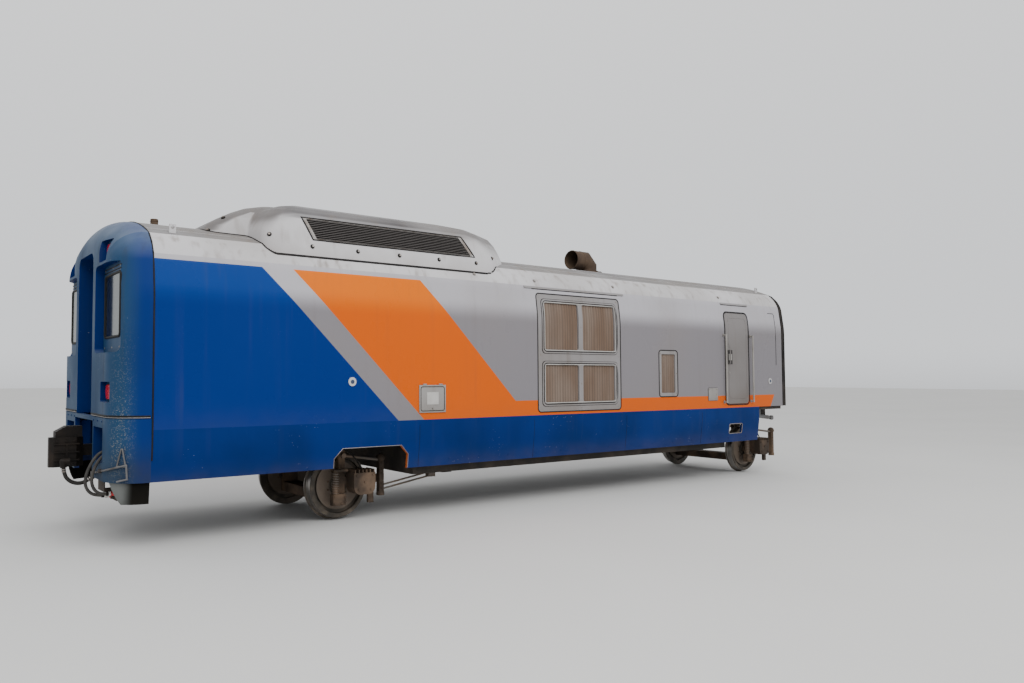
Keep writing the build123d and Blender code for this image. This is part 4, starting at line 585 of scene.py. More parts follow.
# Nose: a moulded cap with rounded edges over a steel bulkhead, an apron below its level seam and two
# bent deflector plates. The blue has chalked in front; the glass and lamps sit in rubber in pockets.
NOSE_BLUE = (0.008, 0.036, 0.09)
NOSE_FADED = (0.02, 0.06, 0.115)
NOSE_CHALK = (0.12, 0.16, 0.22)
NOSE_SOIL = (0.03, 0.032, 0.036)
PLATE_BLUE = (0.17, 0.18, 0.175)
PLATE_SHADE_BLACK = (0.002, 0.002, 0.002)
PLATE_SOIL = (0.02, 0.018, 0.014)
CHIP_HEIGHTS = (2.9, 0.9)
CHIP_TAN = (0.36, 0.33, 0.25)
GLASS_DARK = (0.012, 0.014, 0.016)
GLASS_REFLECTION_TINTS = ((0.035, 0.043, 0.04), (0.075, 0.085, 0.08))
LENS_TINTS = ((0.35, 0.004, 0.005), (0.6, 0.02, 0.02))
POCKET_FLOOR = -0.32
GLASS = (0.61, 1.305, 2.37, 3.09)
LAMPS = ((0.74, 0.98, 3.29, 3.45, -0.33), (0.91, 1.15, 1.665, 1.825, -0.36))
POCKET_LINES = [((0.56, z), (1.305, z)) for z in (3.13, 3.17)]
POCKET_SCREWS = [(y, z) for z in (2.25, 3.16) for y in (0.6, 0.95, 1.28)]
LIP_HEIGHT = 1.465
LIP_PLACES = (0.91, 0.75, 0.59, 0.43)
SEAM_RISE = 0.015
CORNER_CENTRE = (-0.02, 1.07)
APRON_SCREWS = ((0.55, 1.41), (0.75, 1.41), (0.95, 1.41))


def nose_paint(place):
    """Blue that has faded where it looks straight ahead or up, peppered by stones on its corners."""
    ahead, _, up = facing_of(place)
    paint = mix(between(ahead, -0.15, -0.8), BLUE, mix(cloud(place, 1.4, 8.0), NOSE_BLUE, NOSE_FADED))
    paint = mix(between(up, 0.1, 0.8) * cloud(place, 2.0, 6.0), paint, NOSE_CHALK)
    corner = between(ahead, -0.3, -0.7) * between(ahead, -0.98, -0.85)
    corner = corner * between(split(place)[2], *CHIP_HEIGHTS)
    dots = put("ShaderNodeTexVoronoi", {"Vector": place, "Scale": 80.0}, "Distance")
    dots = between(dots, 0.36, 0.24) * between(cloud(place, 30.0, 2.0), 0.38, 0.6)
    return mix(dots * corner * 0.7, paint, CHIP_TAN)


def deflector_paint(place):
    """Worn pale blue in front; the sides painted black as painted shade for the shadow they lie in."""
    # Painted shade: faces that look sideways are painted black.
    return mix(between(facing_of(place)[0], -0.4, -0.75), PLATE_SHADE_BLACK, PLATE_BLUE)


nose_enamel = enamel("nose_enamel", nose_paint, BLUE_DEEP, 0.3, NOSE_SOIL, 0.3, (0.7, 1.35, 0.45), 0.9,
                     roughness=0.4, gloss=0.1)
dress(nose_enamel, "nose_cap", "nose_apron", "nose_bulkhead", "end_door")
deflector_enamel = enamel("deflector_enamel", deflector_paint, PLATE_SOIL, 0.15, PLATE_SOIL,
                          foot=(0.4, 0.9, 0.35), chips=0.25, roughness=0.6, gloss=0.03)
dress(deflector_enamel, "corner_deflectors")
nose_glass, shader, place = start_material("nose_glass")
# Painted reflection: the outer part of each pane is painted paler, in clouds, for the sky it reflects; the
# inner part stays dark.
glass_reflection_share = between(abs(split(place)[1]), 0.8, 1.08)
feed(shader, {
    "Base Color": mix(glass_reflection_share, GLASS_DARK, mix(cloud(place, 3.0), *GLASS_REFLECTION_TINTS)),
    "Roughness": 0.09,
    "Specular IOR Level": 0.25,
})
dress(nose_glass, "nose_windows")
tail_lens, shader, place = start_material("tail_lens")
feed(shader, {"Base Color": mix(cloud(place, 30.0), *LENS_TINTS), "Roughness": 0.15})
ribs = put("ShaderNodeTexWave", {"Vector": place, "Scale": 40.0}, "Fac", bands_direction="Z")
relief(shader, ribs, 0.002)
dress(tail_lens, "tail_lamps")


def front(y, z, *names):
    """Point and facing on the front of a piece."""
    return touch(at(-2, y, z), (1, 0, 0), *names)


def hoop(x, z, start, sweep, parts, *names):
    """Points round the coach's section, met by lines that look in at it from all round."""
    met = []
    for part in range(parts + 1):
        turn = math.radians(start + sweep * part / parts)
        outward = Vector((0, math.cos(turn), math.sin(turn)))
        met.append(touch(at(x, 0, z) + outward * 4, -outward, *names)[0])
    return met


skin_names = ("side_wall_right", "side_wall_left", "roof", "skirt_right", "skirt_left")
beads("nose_joint", [hoop(0.004, 1.9, -32, 244, 60, *skin_names)], 0.01, *rubber)
for side_name, side in SIDES:
    def pane(shape, x):
        """Outline on the nose's front as points."""
        return [at(x, side * y, z) for y, z in shape]

    gasket = pane(rounded(*GLASS, 0.045), POCKET_FLOOR)
    beads("window_rubber_" + side_name, [gasket], 0.016, *rubber, closed=True)
    bezels = [pane(rounded(*lens, 0.06), x) for *lens, x in LAMPS]
    beads("lamp_bezels_" + side_name, bezels, 0.009, *rubber, closed=True)
    lines = [pane(line, POCKET_FLOOR) for line in POCKET_LINES]
    beads("pocket_lines_" + side_name, lines, 0.007, *rubber)
    screws = [(place, Vector((-1, 0, 0))) for place in pane(POCKET_SCREWS, POCKET_FLOOR)]
    bolts("pocket_screws_" + side_name, screws, 0.008, 0.004, *steel, sides=12)
    lip = []
    for turn in range(0, 91, 10):
        way = Vector((-math.sin(math.radians(turn)), side * math.cos(math.radians(turn)), 0))
        start = at(CORNER_CENTRE[0], side * CORNER_CENTRE[1], LIP_HEIGHT) + way * 2
        lip.append(touch(start, -way, "nose_cap")[0])
    lip += [front(side * y, LIP_HEIGHT, "nose_cap")[0] for y in LIP_PLACES]
    # Painted highlight: the ledge's lip is a light steel-grey bead that stands for the highlight along its
    # edge.
    beads("nose_lip_" + side_name, [lip], 0.005, "nose_paint", worn_steel)
    seam = [place + Vector((0, 0, SEAM_RISE)) for place in lip]
    beads("nose_seam_" + side_name, [seam], 0.01, *rubber)
    screws = [front(side * y, z, "nose_apron") for y, z in APRON_SCREWS]
    bolts("apron_screws_" + side_name, screws, 0.01, 0.006, "nose_paint", nose_enamel)

# Coupler, its carrier and the fittings round it: heavy castings in black scale, bolted together, with
# a bent rod to release it and a loop handle on the corner, both worn to bare steel by hands.
CASTING_RUST = (0.035, 0.024, 0.018)
HEAD_BOLTS = [(x, z) for z in (1.15, 0.89) for x in (-0.76, -0.66, -0.56)]
STOCK_BOLTS = [(y, z) for y in (-0.58, -0.48, 0.48, 0.58) for z in (0.86, 1.14)]
GLAND = (0.002, 0.028)
CLIP_STARTS = (0.015, 0.04)
CLIP_WIDTH = 0.012
casting = matt("coupler_casting", (0.006, 0.006, 0.006), CASTING_RUST, 0.6, 0.6, 35.0, 0.002, 0.3)
dress(casting, "coupler", "coupler_carrier", "angle_cock", "hose_head")
dress(matt("bracket_plate", (0.06, 0.048, 0.04), CASTING_RUST, 0.5, 0.7), "cable_sockets")
worn_rod = matt("worn_rod", (0.16, 0.16, 0.165), CASTING_RUST, 0.8, 0.5, 50.0, 0.0006, 0.6)
dress(worn_rod, "uncoupling_lever")
head_bolts = [flank(*place, side, "coupler") for place in HEAD_BOLTS for _, side in SIDES]
bolts("coupler_bolts", head_bolts, 0.014, 0.01, "coupler_steel", casting)
stock_bolts = [front(*place, "headstock") for place in STOCK_BOLTS]
bolts("headstock_bolts", stock_bolts, 0.016, 0.012, "coupler_steel", casting)


def collar(first, second, start, length):
    """Short run round the end of a cable, from its first point towards its second."""
    way = (Vector(second) - Vector(first)).normalized()
    return [at(*(Vector(first) + way * reach)) for reach in (start, start + length)]


cable_ends = [ends for route in CABLE_ROUTES.values() for ends in (route[:2], route[:-3:-1])]
beads("cable_glands", [collar(*ends, *GLAND) for ends in cable_ends], 0.024, *rubber, facets=20)
hose_ends = (HOSE_ROUTE[:2], HOSE_ROUTE[:-3:-1])
clips = [collar(*ends, start, CLIP_WIDTH) for ends in hose_ends for start in CLIP_STARTS]
beads("hose_clips", clips, 0.026, *steel, facets=24)

# Service doors: a piece of the side wall on two pin hinges, pressed steel in the same grey, with a
# thick black rubber seal round the opening, a handle in a dark plate, a lock and two grab rails.
DOOR_GREY = (0.16, 0.148, 0.145)
DOOR_DULL = (0.11, 0.098, 0.09)
DOOR_OPENING = (10.64, 11.38, 1.39, 3.12)
SEAL_RADIUS = 0.011
DOOR_BORDER = (10.75, 11.31, 1.5, 3.02)
HANDLE_PLACE = (10.785, 2.277)
HANDLE_PLATE = (0.15, 0.27, 0.006)
HANDLE_CUP = (0.1, 0.12, 0.012)
DOOR_LOCK = (10.75, 1.98)
RAIL_FEET = ((10.58, 1.436), (10.58, 2.684), (11.44, 1.436), (11.44, 2.684))
door_enamel = enamel("door_enamel", DOOR_GREY, DOOR_DULL, 0.5, streaks=0.3, foot=(1.35, 1.8, 0.4), chips=0.3,
                     chip_colour=ROAD_DIRT, roughness=0.33, waves=0.002)
dress(door_enamel, "service_door_right", "service_door_left")
rail_steel = matt("rail_steel", (0.3, 0.285, 0.265), BRAKE_DUST, 0.35, 0.4, 50.0, 0.0005, 0.3)
dress(rail_steel, "grab_rails")
handle_dark = matt("handle_dark", (0.025, 0.024, 0.024), BRAKE_DUST, 0.4, 0.5)


def slab(name, place, side, size, round_by, material, body):
    """Rounded plate on a flank, of a width along the coach, a height and how far it stands out."""
    mesh = bpy.data.meshes.new(name)
    shape = bmesh.new()
    bmesh.ops.create_cube(shape, size=1.0)
    bmesh.ops.scale(shape, vec=size, verts=shape.verts)
    bmesh.ops.bevel(shape, geom=shape.edges[:], offset=round_by, segments=2, affect="EDGES")
    turn = Matrix(((1, 0, 0), (0, 0, side), (0, -side, 0))).to_4x4()
    bmesh.ops.transform(shape, matrix=Matrix.Translation(place) @ turn, verts=shape.verts)
    bmesh.ops.recalc_face_normals(shape, faces=shape.faces)
    shape.to_mesh(mesh)
    shape.free()
    mesh.materials.append(material)
    piece = link(name, mesh)
    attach(piece, body)


def grown(box, by):
    """Box of low and high limits, larger all round."""
    return box[0] - by, box[1] + by, box[2] - by, box[3] + by


def follow(outline, side, *nodes, reach=0.15):
    """Outline laid onto a flank, with its long uprights cut up so that they keep to the curve."""
    laid = []
    for (x, z), (_, next_z) in zip(outline, outline[1:] + outline[:1]):
        parts = max(1, round(abs(next_z - z) / reach))
        laid += [flank(x, part, side, *nodes)[0] for part in steps(z, next_z, parts)]
    return laid


for side_name, side in SIDES:
    wall, door = "side_wall_" + side_name, "service_door_" + side_name
    seal = follow(rounded(*grown(DOOR_OPENING, SEAL_RADIUS + 0.001), 0.1, 8), side, wall, reach=0.13)
    beads("door_seal_" + side_name, [seal], SEAL_RADIUS, *rubber, closed=True)
    border = follow(rounded(*DOOR_BORDER, 0.07, 6), side, door, reach=0.14)
    beads("door_pressing_" + side_name, [border], 0.004, "body_paint", door_enamel, body=door, closed=True)
    facing = Vector((0, side, 0))
    place = at(HANDLE_PLACE[0], side * HALF_WIDTH, HANDLE_PLACE[1])
    slab("handle_plate_" + side_name, place, side, HANDLE_PLATE, 0.002, handle_dark, door)
    place += facing * 0.004
    slab("handle_cup_" + side_name, place, side, HANDLE_CUP, 0.004, rail_steel, door)
    lock = [flank(*DOOR_LOCK, side, door)]
    bolts("door_lock_" + side_name, lock, 0.016, 0.012, *steel, door, sides=20, washer=0.026)
    feet = [(at(x, side * HALF_WIDTH, z), facing) for x, z in RAIL_FEET]
    bolts("rail_feet_" + side_name, feet, 0.03, 0.008, *steel, sides=20, washer=0.02)

# Radiator panels and vents: flat frames screwed into the side wall, with raised rims round tall
# pleated screens. The pleats are folded sheet, brown from exhaust soot and dust, unevenly bent.
PANEL_GREY = (0.22, 0.21, 0.212)
PANEL_DULL = (0.15, 0.13, 0.115)
PLEAT_BROWN = (0.12, 0.072, 0.044)
PLEAT_DARK = (0.04, 0.026, 0.018)
PLEAT_PALE = (0.175, 0.13, 0.1)
PANEL_OUTLINE = (5.83, 7.71, 1.37, 3.2)
VENT_OUTLINE = (8.7, 9.21, 1.56, 2.37)
# Columns: X limits, height limits, pleats
SCREENS = (
    (5.98, 6.72, 1.515, 2.094, 13),
    (6.81, 7.57, 1.515, 2.094, 13),
    (5.98, 6.72, 2.33, 3.06, 13),
    (6.81, 7.57, 2.33, 3.06, 13),
    (8.77, 9.14, 1.63, 2.3, 7),
)
PLEAT_DEPTH = 0.011
PLEAT_SWAY = 1.1
SWAY_REACH = 0.012
PLEAT_PROUD = 0.002
SEAT_ASIDE = 0.013
SEAT_INSET = 0.01
PANEL_LINES = (0.055, 0.026)
EDGE_LINE = 0.008
PAIR_BOXES = ((5.98, 7.57, 1.515, 2.094), (5.98, 7.57, 2.33, 3.06))
PANEL_SCREWS = ((5.89, 6.77, 7.65), (1.42, 1.8, 2.247, 2.7, 3.15))
VENT_SCREWS = ((8.735, 9.175), (1.62, 1.965, 2.31))
panel_enamel = enamel("panel_enamel", PANEL_GREY, PANEL_DULL, 0.5, streaks=0.4, foot=(1.3, 1.7, 0.3),
                      chips=0.3, chip_colour=ROAD_DIRT, roughness=0.33, waves=0.002)
dress(panel_enamel, "radiator_frames", "side_vents", "rain_gutters")
dress(matt("mesh_dark", PLEAT_DARK, PLEAT_BROWN, 0.5, 0.8), "radiator_screens")
pleated_sheet, shader, place = start_material("pleated_sheet")
pleat_tone = between(cloud(place, 2.4, 6.0, (1.0, 1.0, 0.3)), 0.3, 0.7)
valley = put("ShaderNodeAttribute", output="Fac", tree=place.tree, attribute_name="valley")
# Painted shade: the valleys of the folds are painted half way towards PLEAT_DARK.
pleat_tint = mix(valley * 0.5, mix(pleat_tone, PLEAT_BROWN, PLEAT_PALE), PLEAT_DARK)
feed(shader, {"Base Color": pleat_tint, "Roughness": 0.75})
relief(shader, cloud(place, 150.0), 0.001)
pleat_tree, given = start_tree("pleats", {
    "Pleats": 30,
    "Width": 0.7,
    "Depth": PLEAT_DEPTH,
    "Unevenness": 0.35,
    "Seed": 5,
})
fold_count = given["Pleats"] * 2.0 + 1.0
fold_step = put("ShaderNodeCombineXYZ", {"X": given["Width"] / (given["Pleats"] * 2.0)})
folds = put("GeometryNodeMeshLine", {"Count": fold_count, "Offset": fold_step}, mode="OFFSET")
order = put("GeometryNodeInputIndex", tree=pleat_tree)
crest = calc("MODULO", order, 2.0)
sway = {"Min": -1.0, "Max": 1.0, "Seed": given["Seed"]}
sway = put("FunctionNodeRandomValue", sway, "Value", data_type="FLOAT") * given["Unevenness"] * SWAY_REACH
shift = put("ShaderNodeCombineXYZ", {"X": sway, "Y": crest * given["Depth"]})
inner = (order > 0.5) * (order < fold_count - 1.5)
folds = put("GeometryNodeSetPosition", {"Geometry": folds, "Selection": inner, "Offset": shift})
folds = put("GeometryNodeStoreNamedAttribute", {"Geometry": folds, "Name": "valley", "Value": 1.0 - crest})
folds = put("GeometryNodeMeshToCurve", {"Mesh": folds})
rail = put("GeometryNodeMeshToCurve", {"Mesh": given["Geometry"]})
end_tree(pleat_tree, given, put("GeometryNodeCurveToMesh", {"Curve": rail, "Profile Curve": folds}))
plate_white = matt("plate_white", (0.45, 0.44, 0.42), BRAKE_DUST, 0.3, 0.45)
for side_name, side in SIDES:
    wall = "side_wall_" + side_name
    outlines = [follow(rounded(*outline, 0.06), side, wall, node)
                for outline, node in ((PANEL_OUTLINE, "radiator_frames"), (VENT_OUTLINE, "side_vents"))]
    beads("panel_outlines_" + side_name, outlines, 0.009, *rubber, closed=True)
    lines = [follow(rounded(*grown(box, by), 0.06), side, "radiator_frames")
             for box in PAIR_BOXES for by in PANEL_LINES]
    beads("panel_lines_" + side_name, lines, 0.0075, *rubber, closed=True)
    edges = [follow(rounded(*grown(box, EDGE_LINE), 0.015), side, "radiator_frames") for box in PAIR_BOXES]
    beads("screen_edges_" + side_name, edges, 0.006, "bare_steel", plate_white, closed=True)
    screws = [flank(x, z, side, node) for node, (columns, rows) in
              (("radiator_frames", PANEL_SCREWS), ("side_vents", VENT_SCREWS)) for x in columns for z in rows]
    bolts("panel_screws_" + side_name, screws, 0.007, 0.003, *steel, sides=12)
    for number, (low_x, high_x, low_z, high_z, pleats) in enumerate(SCREENS):
        node = "side_vents" if low_x > 8 else "radiator_screens"
        path = []
        for z in (*steps(low_z, high_z, 6), high_z):
            seat_z = min(max(z, low_z + SEAT_INSET), high_z - SEAT_INSET)
            seat = flank((low_x + high_x) / 2 + SEAT_ASIDE, seat_z, side, node)[0]
            path.append((SEAM_X + low_x, seat.y + side * PLEAT_PROUD, RAIL_Z + z))
        guide = new_mesh("pleat_guide", path, [(i, i + 1) for i in range(6)])
        values = {"Pleats": pleats, "Width": high_x - low_x, "Depth": side * PLEAT_DEPTH, "Seed": 5 + number,
                  "Unevenness": PLEAT_SWAY}
        name = f"pleats_{side_name}_{number}"
        folded = grow(name, pleat_tree, guide, values, "coach", "screen_mesh", pleated_sheet)
        if sum(face.normal.y for face in folded.data.polygons) * side < 0:
            folded.data.flip_normals()

# Fillers and small hatches: pressed lids over wells in the side wall, hung on two pins, each with a
# pale plate in its middle, a square lock and a dark seal. The hatch boxes are screwed shut.
LID_GREY = (0.26, 0.25, 0.24)
LID_DULL = (0.17, 0.155, 0.14)
FILLER = (3.61, 4.05, 1.425, 1.795)
FILLER_RIM = -0.02
LID_SPOT = (3.7, 1.6)
FILLER_PLATE = (3.83, 1.615)
FILLER_PLATE_SIZE = (0.2, 0.17, 0.006)
FILLER_LOCK = (3.83, 1.475)
HATCH = (10.09, 10.37, 1.47, 1.7)
HATCH_RIM = -0.015
HATCH_FACE = 1.478
HATCH_SCREWS = ((10.12, 1.5), (10.12, 1.67), (10.34, 1.5), (10.34, 1.67), (10.325, 1.585))
lid_enamel = enamel("lid_enamel", LID_GREY, LID_DULL, 0.5, streaks=0.4, foot=(1.35, 1.7, 0.4), chips=0.4,
                    chip_colour=ROAD_DIRT, roughness=0.33)
dress(lid_enamel, "filler_lid_right", "filler_lid_left", "filler_wells", "small_hatches")
for side_name, side in SIDES:
    lid = "filler_lid_" + side_name
    face = flank(*LID_SPOT, side, lid)[0].y
    place = at(FILLER_PLATE[0], face, FILLER_PLATE[1])
    slab("filler_plate_" + side_name, place, side, FILLER_PLATE_SIZE, 0.002, plate_white, lid)
    rim = [at(x, face, z) for x, z in rounded(*grown(FILLER, FILLER_RIM), 0.03)]
    beads("filler_rim_" + side_name, [rim], 0.005, *rubber, lid, closed=True)
    facing = Vector((0, side, 0))
    lock = [(at(FILLER_LOCK[0], face, FILLER_LOCK[1]), facing)]
    bolts("filler_lock_" + side_name, lock, 0.01, 0.01, *steel, lid, sides=4, washer=0.018)
    joint = follow(rounded(*HATCH, 0.012), side, "side_wall_" + side_name)
    beads("hatch_joint_" + side_name, [joint], 0.006, *rubber, closed=True)
    face = side * HATCH_FACE
    rim = [at(x, face, z) for x, z in rounded(*grown(HATCH, HATCH_RIM), 0.01)]
    beads("hatch_rim_" + side_name, [rim], 0.003, "hatch_paint", lid_enamel, closed=True)
    screws = [(at(x, face, z), facing) for x, z in HATCH_SCREWS]
    bolts("hatch_screws_" + side_name, screws, 0.006, 0.003, *steel, sides=12)

# Roof: long sheets seam-welded along and across, in the side's grey but sooty and streaked brown. The
# lifting eyes are cut from plate and welded on; small domed fittings sit along the cant rail.
ROOF_GREY = (0.47, 0.46, 0.47)
ROOF_DULL = (0.24, 0.22, 0.2)
ROOF_SOOT_AND_SHADE = (0.05, 0.046, 0.047)
ROOF_SOIL = (0.17, 0.135, 0.11)
ROOF_CHIP = (0.12, 0.1, 0.085)
SEAM_LINES = (-0.52, -1.02, 0.52, 1.02)
SEAM_PLACES = [0.02 + 0.33 * i for i in range(38)]
ROOF_JOINTS = (2.4, 6.4, 7.4, 9.6, 11.4)
JOINT_PLACES = [-1.2 + 0.08 * i for i in range(31)]
GUTTERS = ((5.76, 7.7), (10.59, 11.43))
GUTTER_LOW = 3.264
ROOF_FITTINGS = ((4.679, 3.416), (5.866, 3.394), (7.674, 3.416), (10.6, 3.4))


def crown_soot_and_shade(low, high):
    """Roof grey darkened where it looks up, partly by a film of soot and partly as painted shade: none at the
    low lean, all of it at the high.
    """
    def paint(place):
        uneven = calc("ADD", cloud(place, 1.1, 6.0) * 0.5, 0.6, clamp=True)
        return mix(between(facing_of(place)[2], low, high) * uneven, ROOF_GREY, ROOF_SOOT_AND_SHADE)
    return paint


def ceiling(x, y, *names):
    """Point and facing on top of the coach."""
    return touch(at(x, y, 6.0), (0, 0, -1), *names)


# Painted shade: the roof is painted dark where it looks straight up, partly as soot.
roof_enamel = enamel("roof_enamel", crown_soot_and_shade(0.72, 0.95), ROOF_DULL, 0.4, ROOF_SOIL, 0.6, (2.9, 3.4, 0.1),
                     0.12, ROOF_CHIP, 0.4, 0.003, 0.15)
dress(roof_enamel, "roof", "lifting_eyes")
# Painted shadow: a black rubber bead under each gutter stands for the shadow the gutter casts on the wall.
for side_name, side in SIDES:
    joints = [[flank(x, GUTTER_LOW, side, "side_wall_" + side_name, "roof")[0]
               for x in (*steps(*ends, 8), ends[1])] for ends in GUTTERS]
    beads("gutter_joints_" + side_name, joints, 0.007, *rubber)
seams = [[ceiling(x, y, "roof")[0] for x in SEAM_PLACES] for y in SEAM_LINES]
seams += [[ceiling(x, y, "roof")[0] for y in JOINT_PLACES] for x in ROOF_JOINTS]
beads("roof_seams", seams, 0.003, "roof_paint", roof_enamel, facets=6)
spots = [flank(*place, side, "roof") for place in ROOF_FITTINGS for _, side in SIDES]
bolts("roof_fittings", spots, 0.02, 0.012, "roof_paint", worn_steel, sides=16, washer=0.03)

# Fairing over the roof: a moulded shell bolted down over the coolers, on a black rubber foot whose bead
# also stands for the shadow under the shell's edge. Large bolts with wide washers hold its edge; slanted
# louvre frames are riveted into both sides.
FAIRING_DULL = (0.2, 0.18, 0.165)
FAIRING_BOLTS = ((1.477, 3.692), (2.049, 3.582), (2.727, 3.578), (3.393, 3.582), (4.072, 3.583),
                 (4.754, 3.588), (5.143, 3.703))
SNOUT_BOLTS = ((0.867, 0.75), (1.076, 0.72))
GRILLE_BOX = (1.94, 4.55, 3.675, 3.97)
GRILLE_OUTLINE = ((1.94, 3.97), (4.55, 3.97), (4.74, 3.675), (2.07, 3.675))
GRILLE_SPOTS = ((3.3, 3.679), (3.3, 3.966))
GRILLE_SLANT = (0.13, 0.19)
GRILLE_FRAME = 0.062
GRILLE_RAIL = 0.014
GRILLE_PALE = (0.27, 0.255, 0.245)
SLATS = 11
SLAT_SHARE = 0.3
SLAT_EDGE = 0.014
SLAT_SHADE_BLACK = (0.003, 0.0025, 0.0025)
SLAT_EDGE_HIGHLIGHT = (0.1, 0.092, 0.088)
GRILLE_ENDS = (((1.989, 3.93), (2.086, 3.71)), ((4.545, 3.93), (4.686, 3.71)))
END_RIVETS = 9
ON_ROOF = 0.002
SAME_PLACE = 0.0002
SMOOTH_LIMIT = 30.0
# Painted shade: the fairing's top is painted dark wherever it looks up, partly as soot.
fairing_enamel = enamel("fairing_enamel", crown_soot_and_shade(0.28, 0.62), FAIRING_DULL, 0.35, ROOF_SOIL, 0.3,
                        (3.3, 3.75, 0.3), 0.12, ROOF_CHIP, 0.36, 0.002, 0.12)
low_y, high_y = (abs(flank(*place, -1, "fairing_grilles")[0].y) for place in GRILLE_SPOTS)
grille_enamel, shader, place = start_material("grille_enamel")
x, y, z = split(place)
run, height = x - SEAM_X, z - RAIL_Z
low_x, high_x, low_z, high_z = GRILLE_BOX
drop = (high_z - height) / (high_z - low_z)
inside = run - drop * GRILLE_SLANT[0] > low_x + GRILLE_FRAME
inside = inside * (run - drop * GRILLE_SLANT[1] < high_x - GRILLE_FRAME)
inside = inside * (abs(height - (low_z + high_z) / 2) < (high_z - low_z) / 2 - GRILLE_RAIL)
turn = (height - (low_z + GRILLE_RAIL)) / ((high_z - low_z - 2 * GRILLE_RAIL) / SLATS)
# Painted shade and highlight: inside its frame the grille is painted black for the shade between the slats,
# and the slats' outer edges grey for their highlight.
on_edge = (abs(calc("FRACT", turn) - 0.5) < SLAT_SHARE / 2) * (abs(facing_of(place)[1]) > 0.6)
on_edge = on_edge * (abs(y) - drop * (low_y - high_y) > high_y - SLAT_EDGE)
pale = mix(between(cloud(place, 9.0, 6.0), 0.4, 0.75), GRILLE_PALE, ROOF_SOIL)
feed(shader, {
    "Base Color": mix(inside, pale, mix(on_edge, SLAT_SHADE_BLACK, SLAT_EDGE_HIGHLIGHT)),
    "Roughness": 0.55,
    "Specular IOR Level": 0.1,
})
relief(shader, cloud(place, 90.0), 0.0006)
dress(grille_enamel, "fairing_grilles")
spots = [flank(*place, side, "roof_fairing") for place in FAIRING_BOLTS for _, side in SIDES]
spots += [ceiling(x, side * y, "roof_fairing") for x, y in SNOUT_BOLTS for _, side in SIDES]
bolts("fairing_washers", spots, 0.026, 0.008, *rubber, sides=20, washer=0.03)
bolts("fairing_bolts", spots, 0.014, 0.022, "roof_paint", worn_steel, washer=0.024)
rivets = []
for (top_x, top_z), (low_x, low_z) in GRILLE_ENDS:
    for step in range(END_RIVETS):
        share = (step + 0.5) / END_RIVETS
        x, z = top_x + (low_x - top_x) * share, top_z + (low_z - top_z) * share
        rivets += [flank(x, z, side, "fairing_grilles") for _, side in SIDES]
bolts("grille_rivets", rivets, 0.006, 0.004, *steel, sides=10, washer=0.008)
gaps = []
for _, side in SIDES:
    outline = []
    for (x, z), (next_x, next_z) in zip(GRILLE_OUTLINE, GRILLE_OUTLINE[1:] + GRILLE_OUTLINE[:1]):
        places = zip(steps(x, next_x, 8), steps(z, next_z, 8))
        outline += [flank(*place, side, "roof_fairing", "fairing_grilles")[0] for place in places]
    gaps.append(outline)
beads("grille_gaps", gaps, 0.011, *rubber, closed=True)
skin = bmesh.new()
skin.from_mesh(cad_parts["roof_fairing"].data)
bmesh.ops.remove_doubles(skin, verts=skin.verts, dist=SAME_PLACE)
left = {edge: True for edge in skin.edges
        if max(skins["roof"].find_nearest(vertex.co)[3] for vertex in edge.verts) < ON_ROOF}
rims = []
while left:
    chain = [left.popitem()[0]]
    for edge in chain:
        for vertex in edge.verts:
            joined = [other for other in vertex.link_edges if left.pop(other, False)]
            chain.extend(joined)
    rims.append(chain)
foot = max(rims, key=lambda chain: sum(edge.calc_length() for edge in chain))
numbers = {}
for edge in foot:
    for vertex in edge.verts:
        numbers.setdefault(vertex, len(numbers))
foot_edges = [[numbers[vertex] for vertex in edge.verts] for edge in foot]
foot_mesh = new_mesh("fairing_foot_shadow", [vertex.co for vertex in numbers], foot_edges)
# The black foot bead is partly painted shadow, for the shade under the shell's edge.
grow("fairing_foot_shadow", bead_tree, foot_mesh, {"Radius": 0.011, "Facets": 8}, "coach", *rubber)
for face in skin.faces:
    face.smooth = True
for edge in skin.edges:
    edge.smooth = edge.is_manifold and edge.calc_face_angle(0.0) < math.radians(SMOOTH_LIMIT)
fairing_mesh = new_mesh("fairing_shell", ())
skin.to_mesh(fairing_mesh)
skin.free()
fairing_mesh.materials.append(fairing_enamel)
fairing = link("fairing_shell", fairing_mesh)
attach(fairing, "coach")
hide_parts("roof_fairing")

# Exhaust stack and roof beacon: a mitred pipe of rolled plate on a bolted flange, scaled brown by
# heat, with rolled rings at and behind its mouth, and a capped beacon on a round base.
EXHAUST_BROWN = (0.045, 0.03, 0.022)
EXHAUST_RUST = (0.11, 0.075, 0.048)
EXHAUST_X = 8.54
EXHAUST_RINGS = (8.122, 8.31)
EXHAUST_Z = 4.085
EXHAUST_RADIUS = 0.172
EXHAUST_FOOT = 3.868
UNDER_ELBOW = 3.9
FLANGE_RADIUS = 0.24
BEACON_X = 0.41
BEACON_BASE = 0.08
BEACON_RADIUS = 0.051
BEACON_BANDS = (3.9, 3.94)
exhaust_scale = matt("exhaust_scale", EXHAUST_BROWN, EXHAUST_RUST, 0.7, 0.85, 30.0, 0.003)
dress(exhaust_scale, "exhaust_stack", "roof_beacon")
scaled = ("gear_steel", exhaust_scale)


def circle(radius, count):
    """Points of a circle as pairs of numbers."""
    angles = [math.tau * i / count for i in range(count)]
    return [(radius * math.cos(angle), radius * math.sin(angle)) for angle in angles]


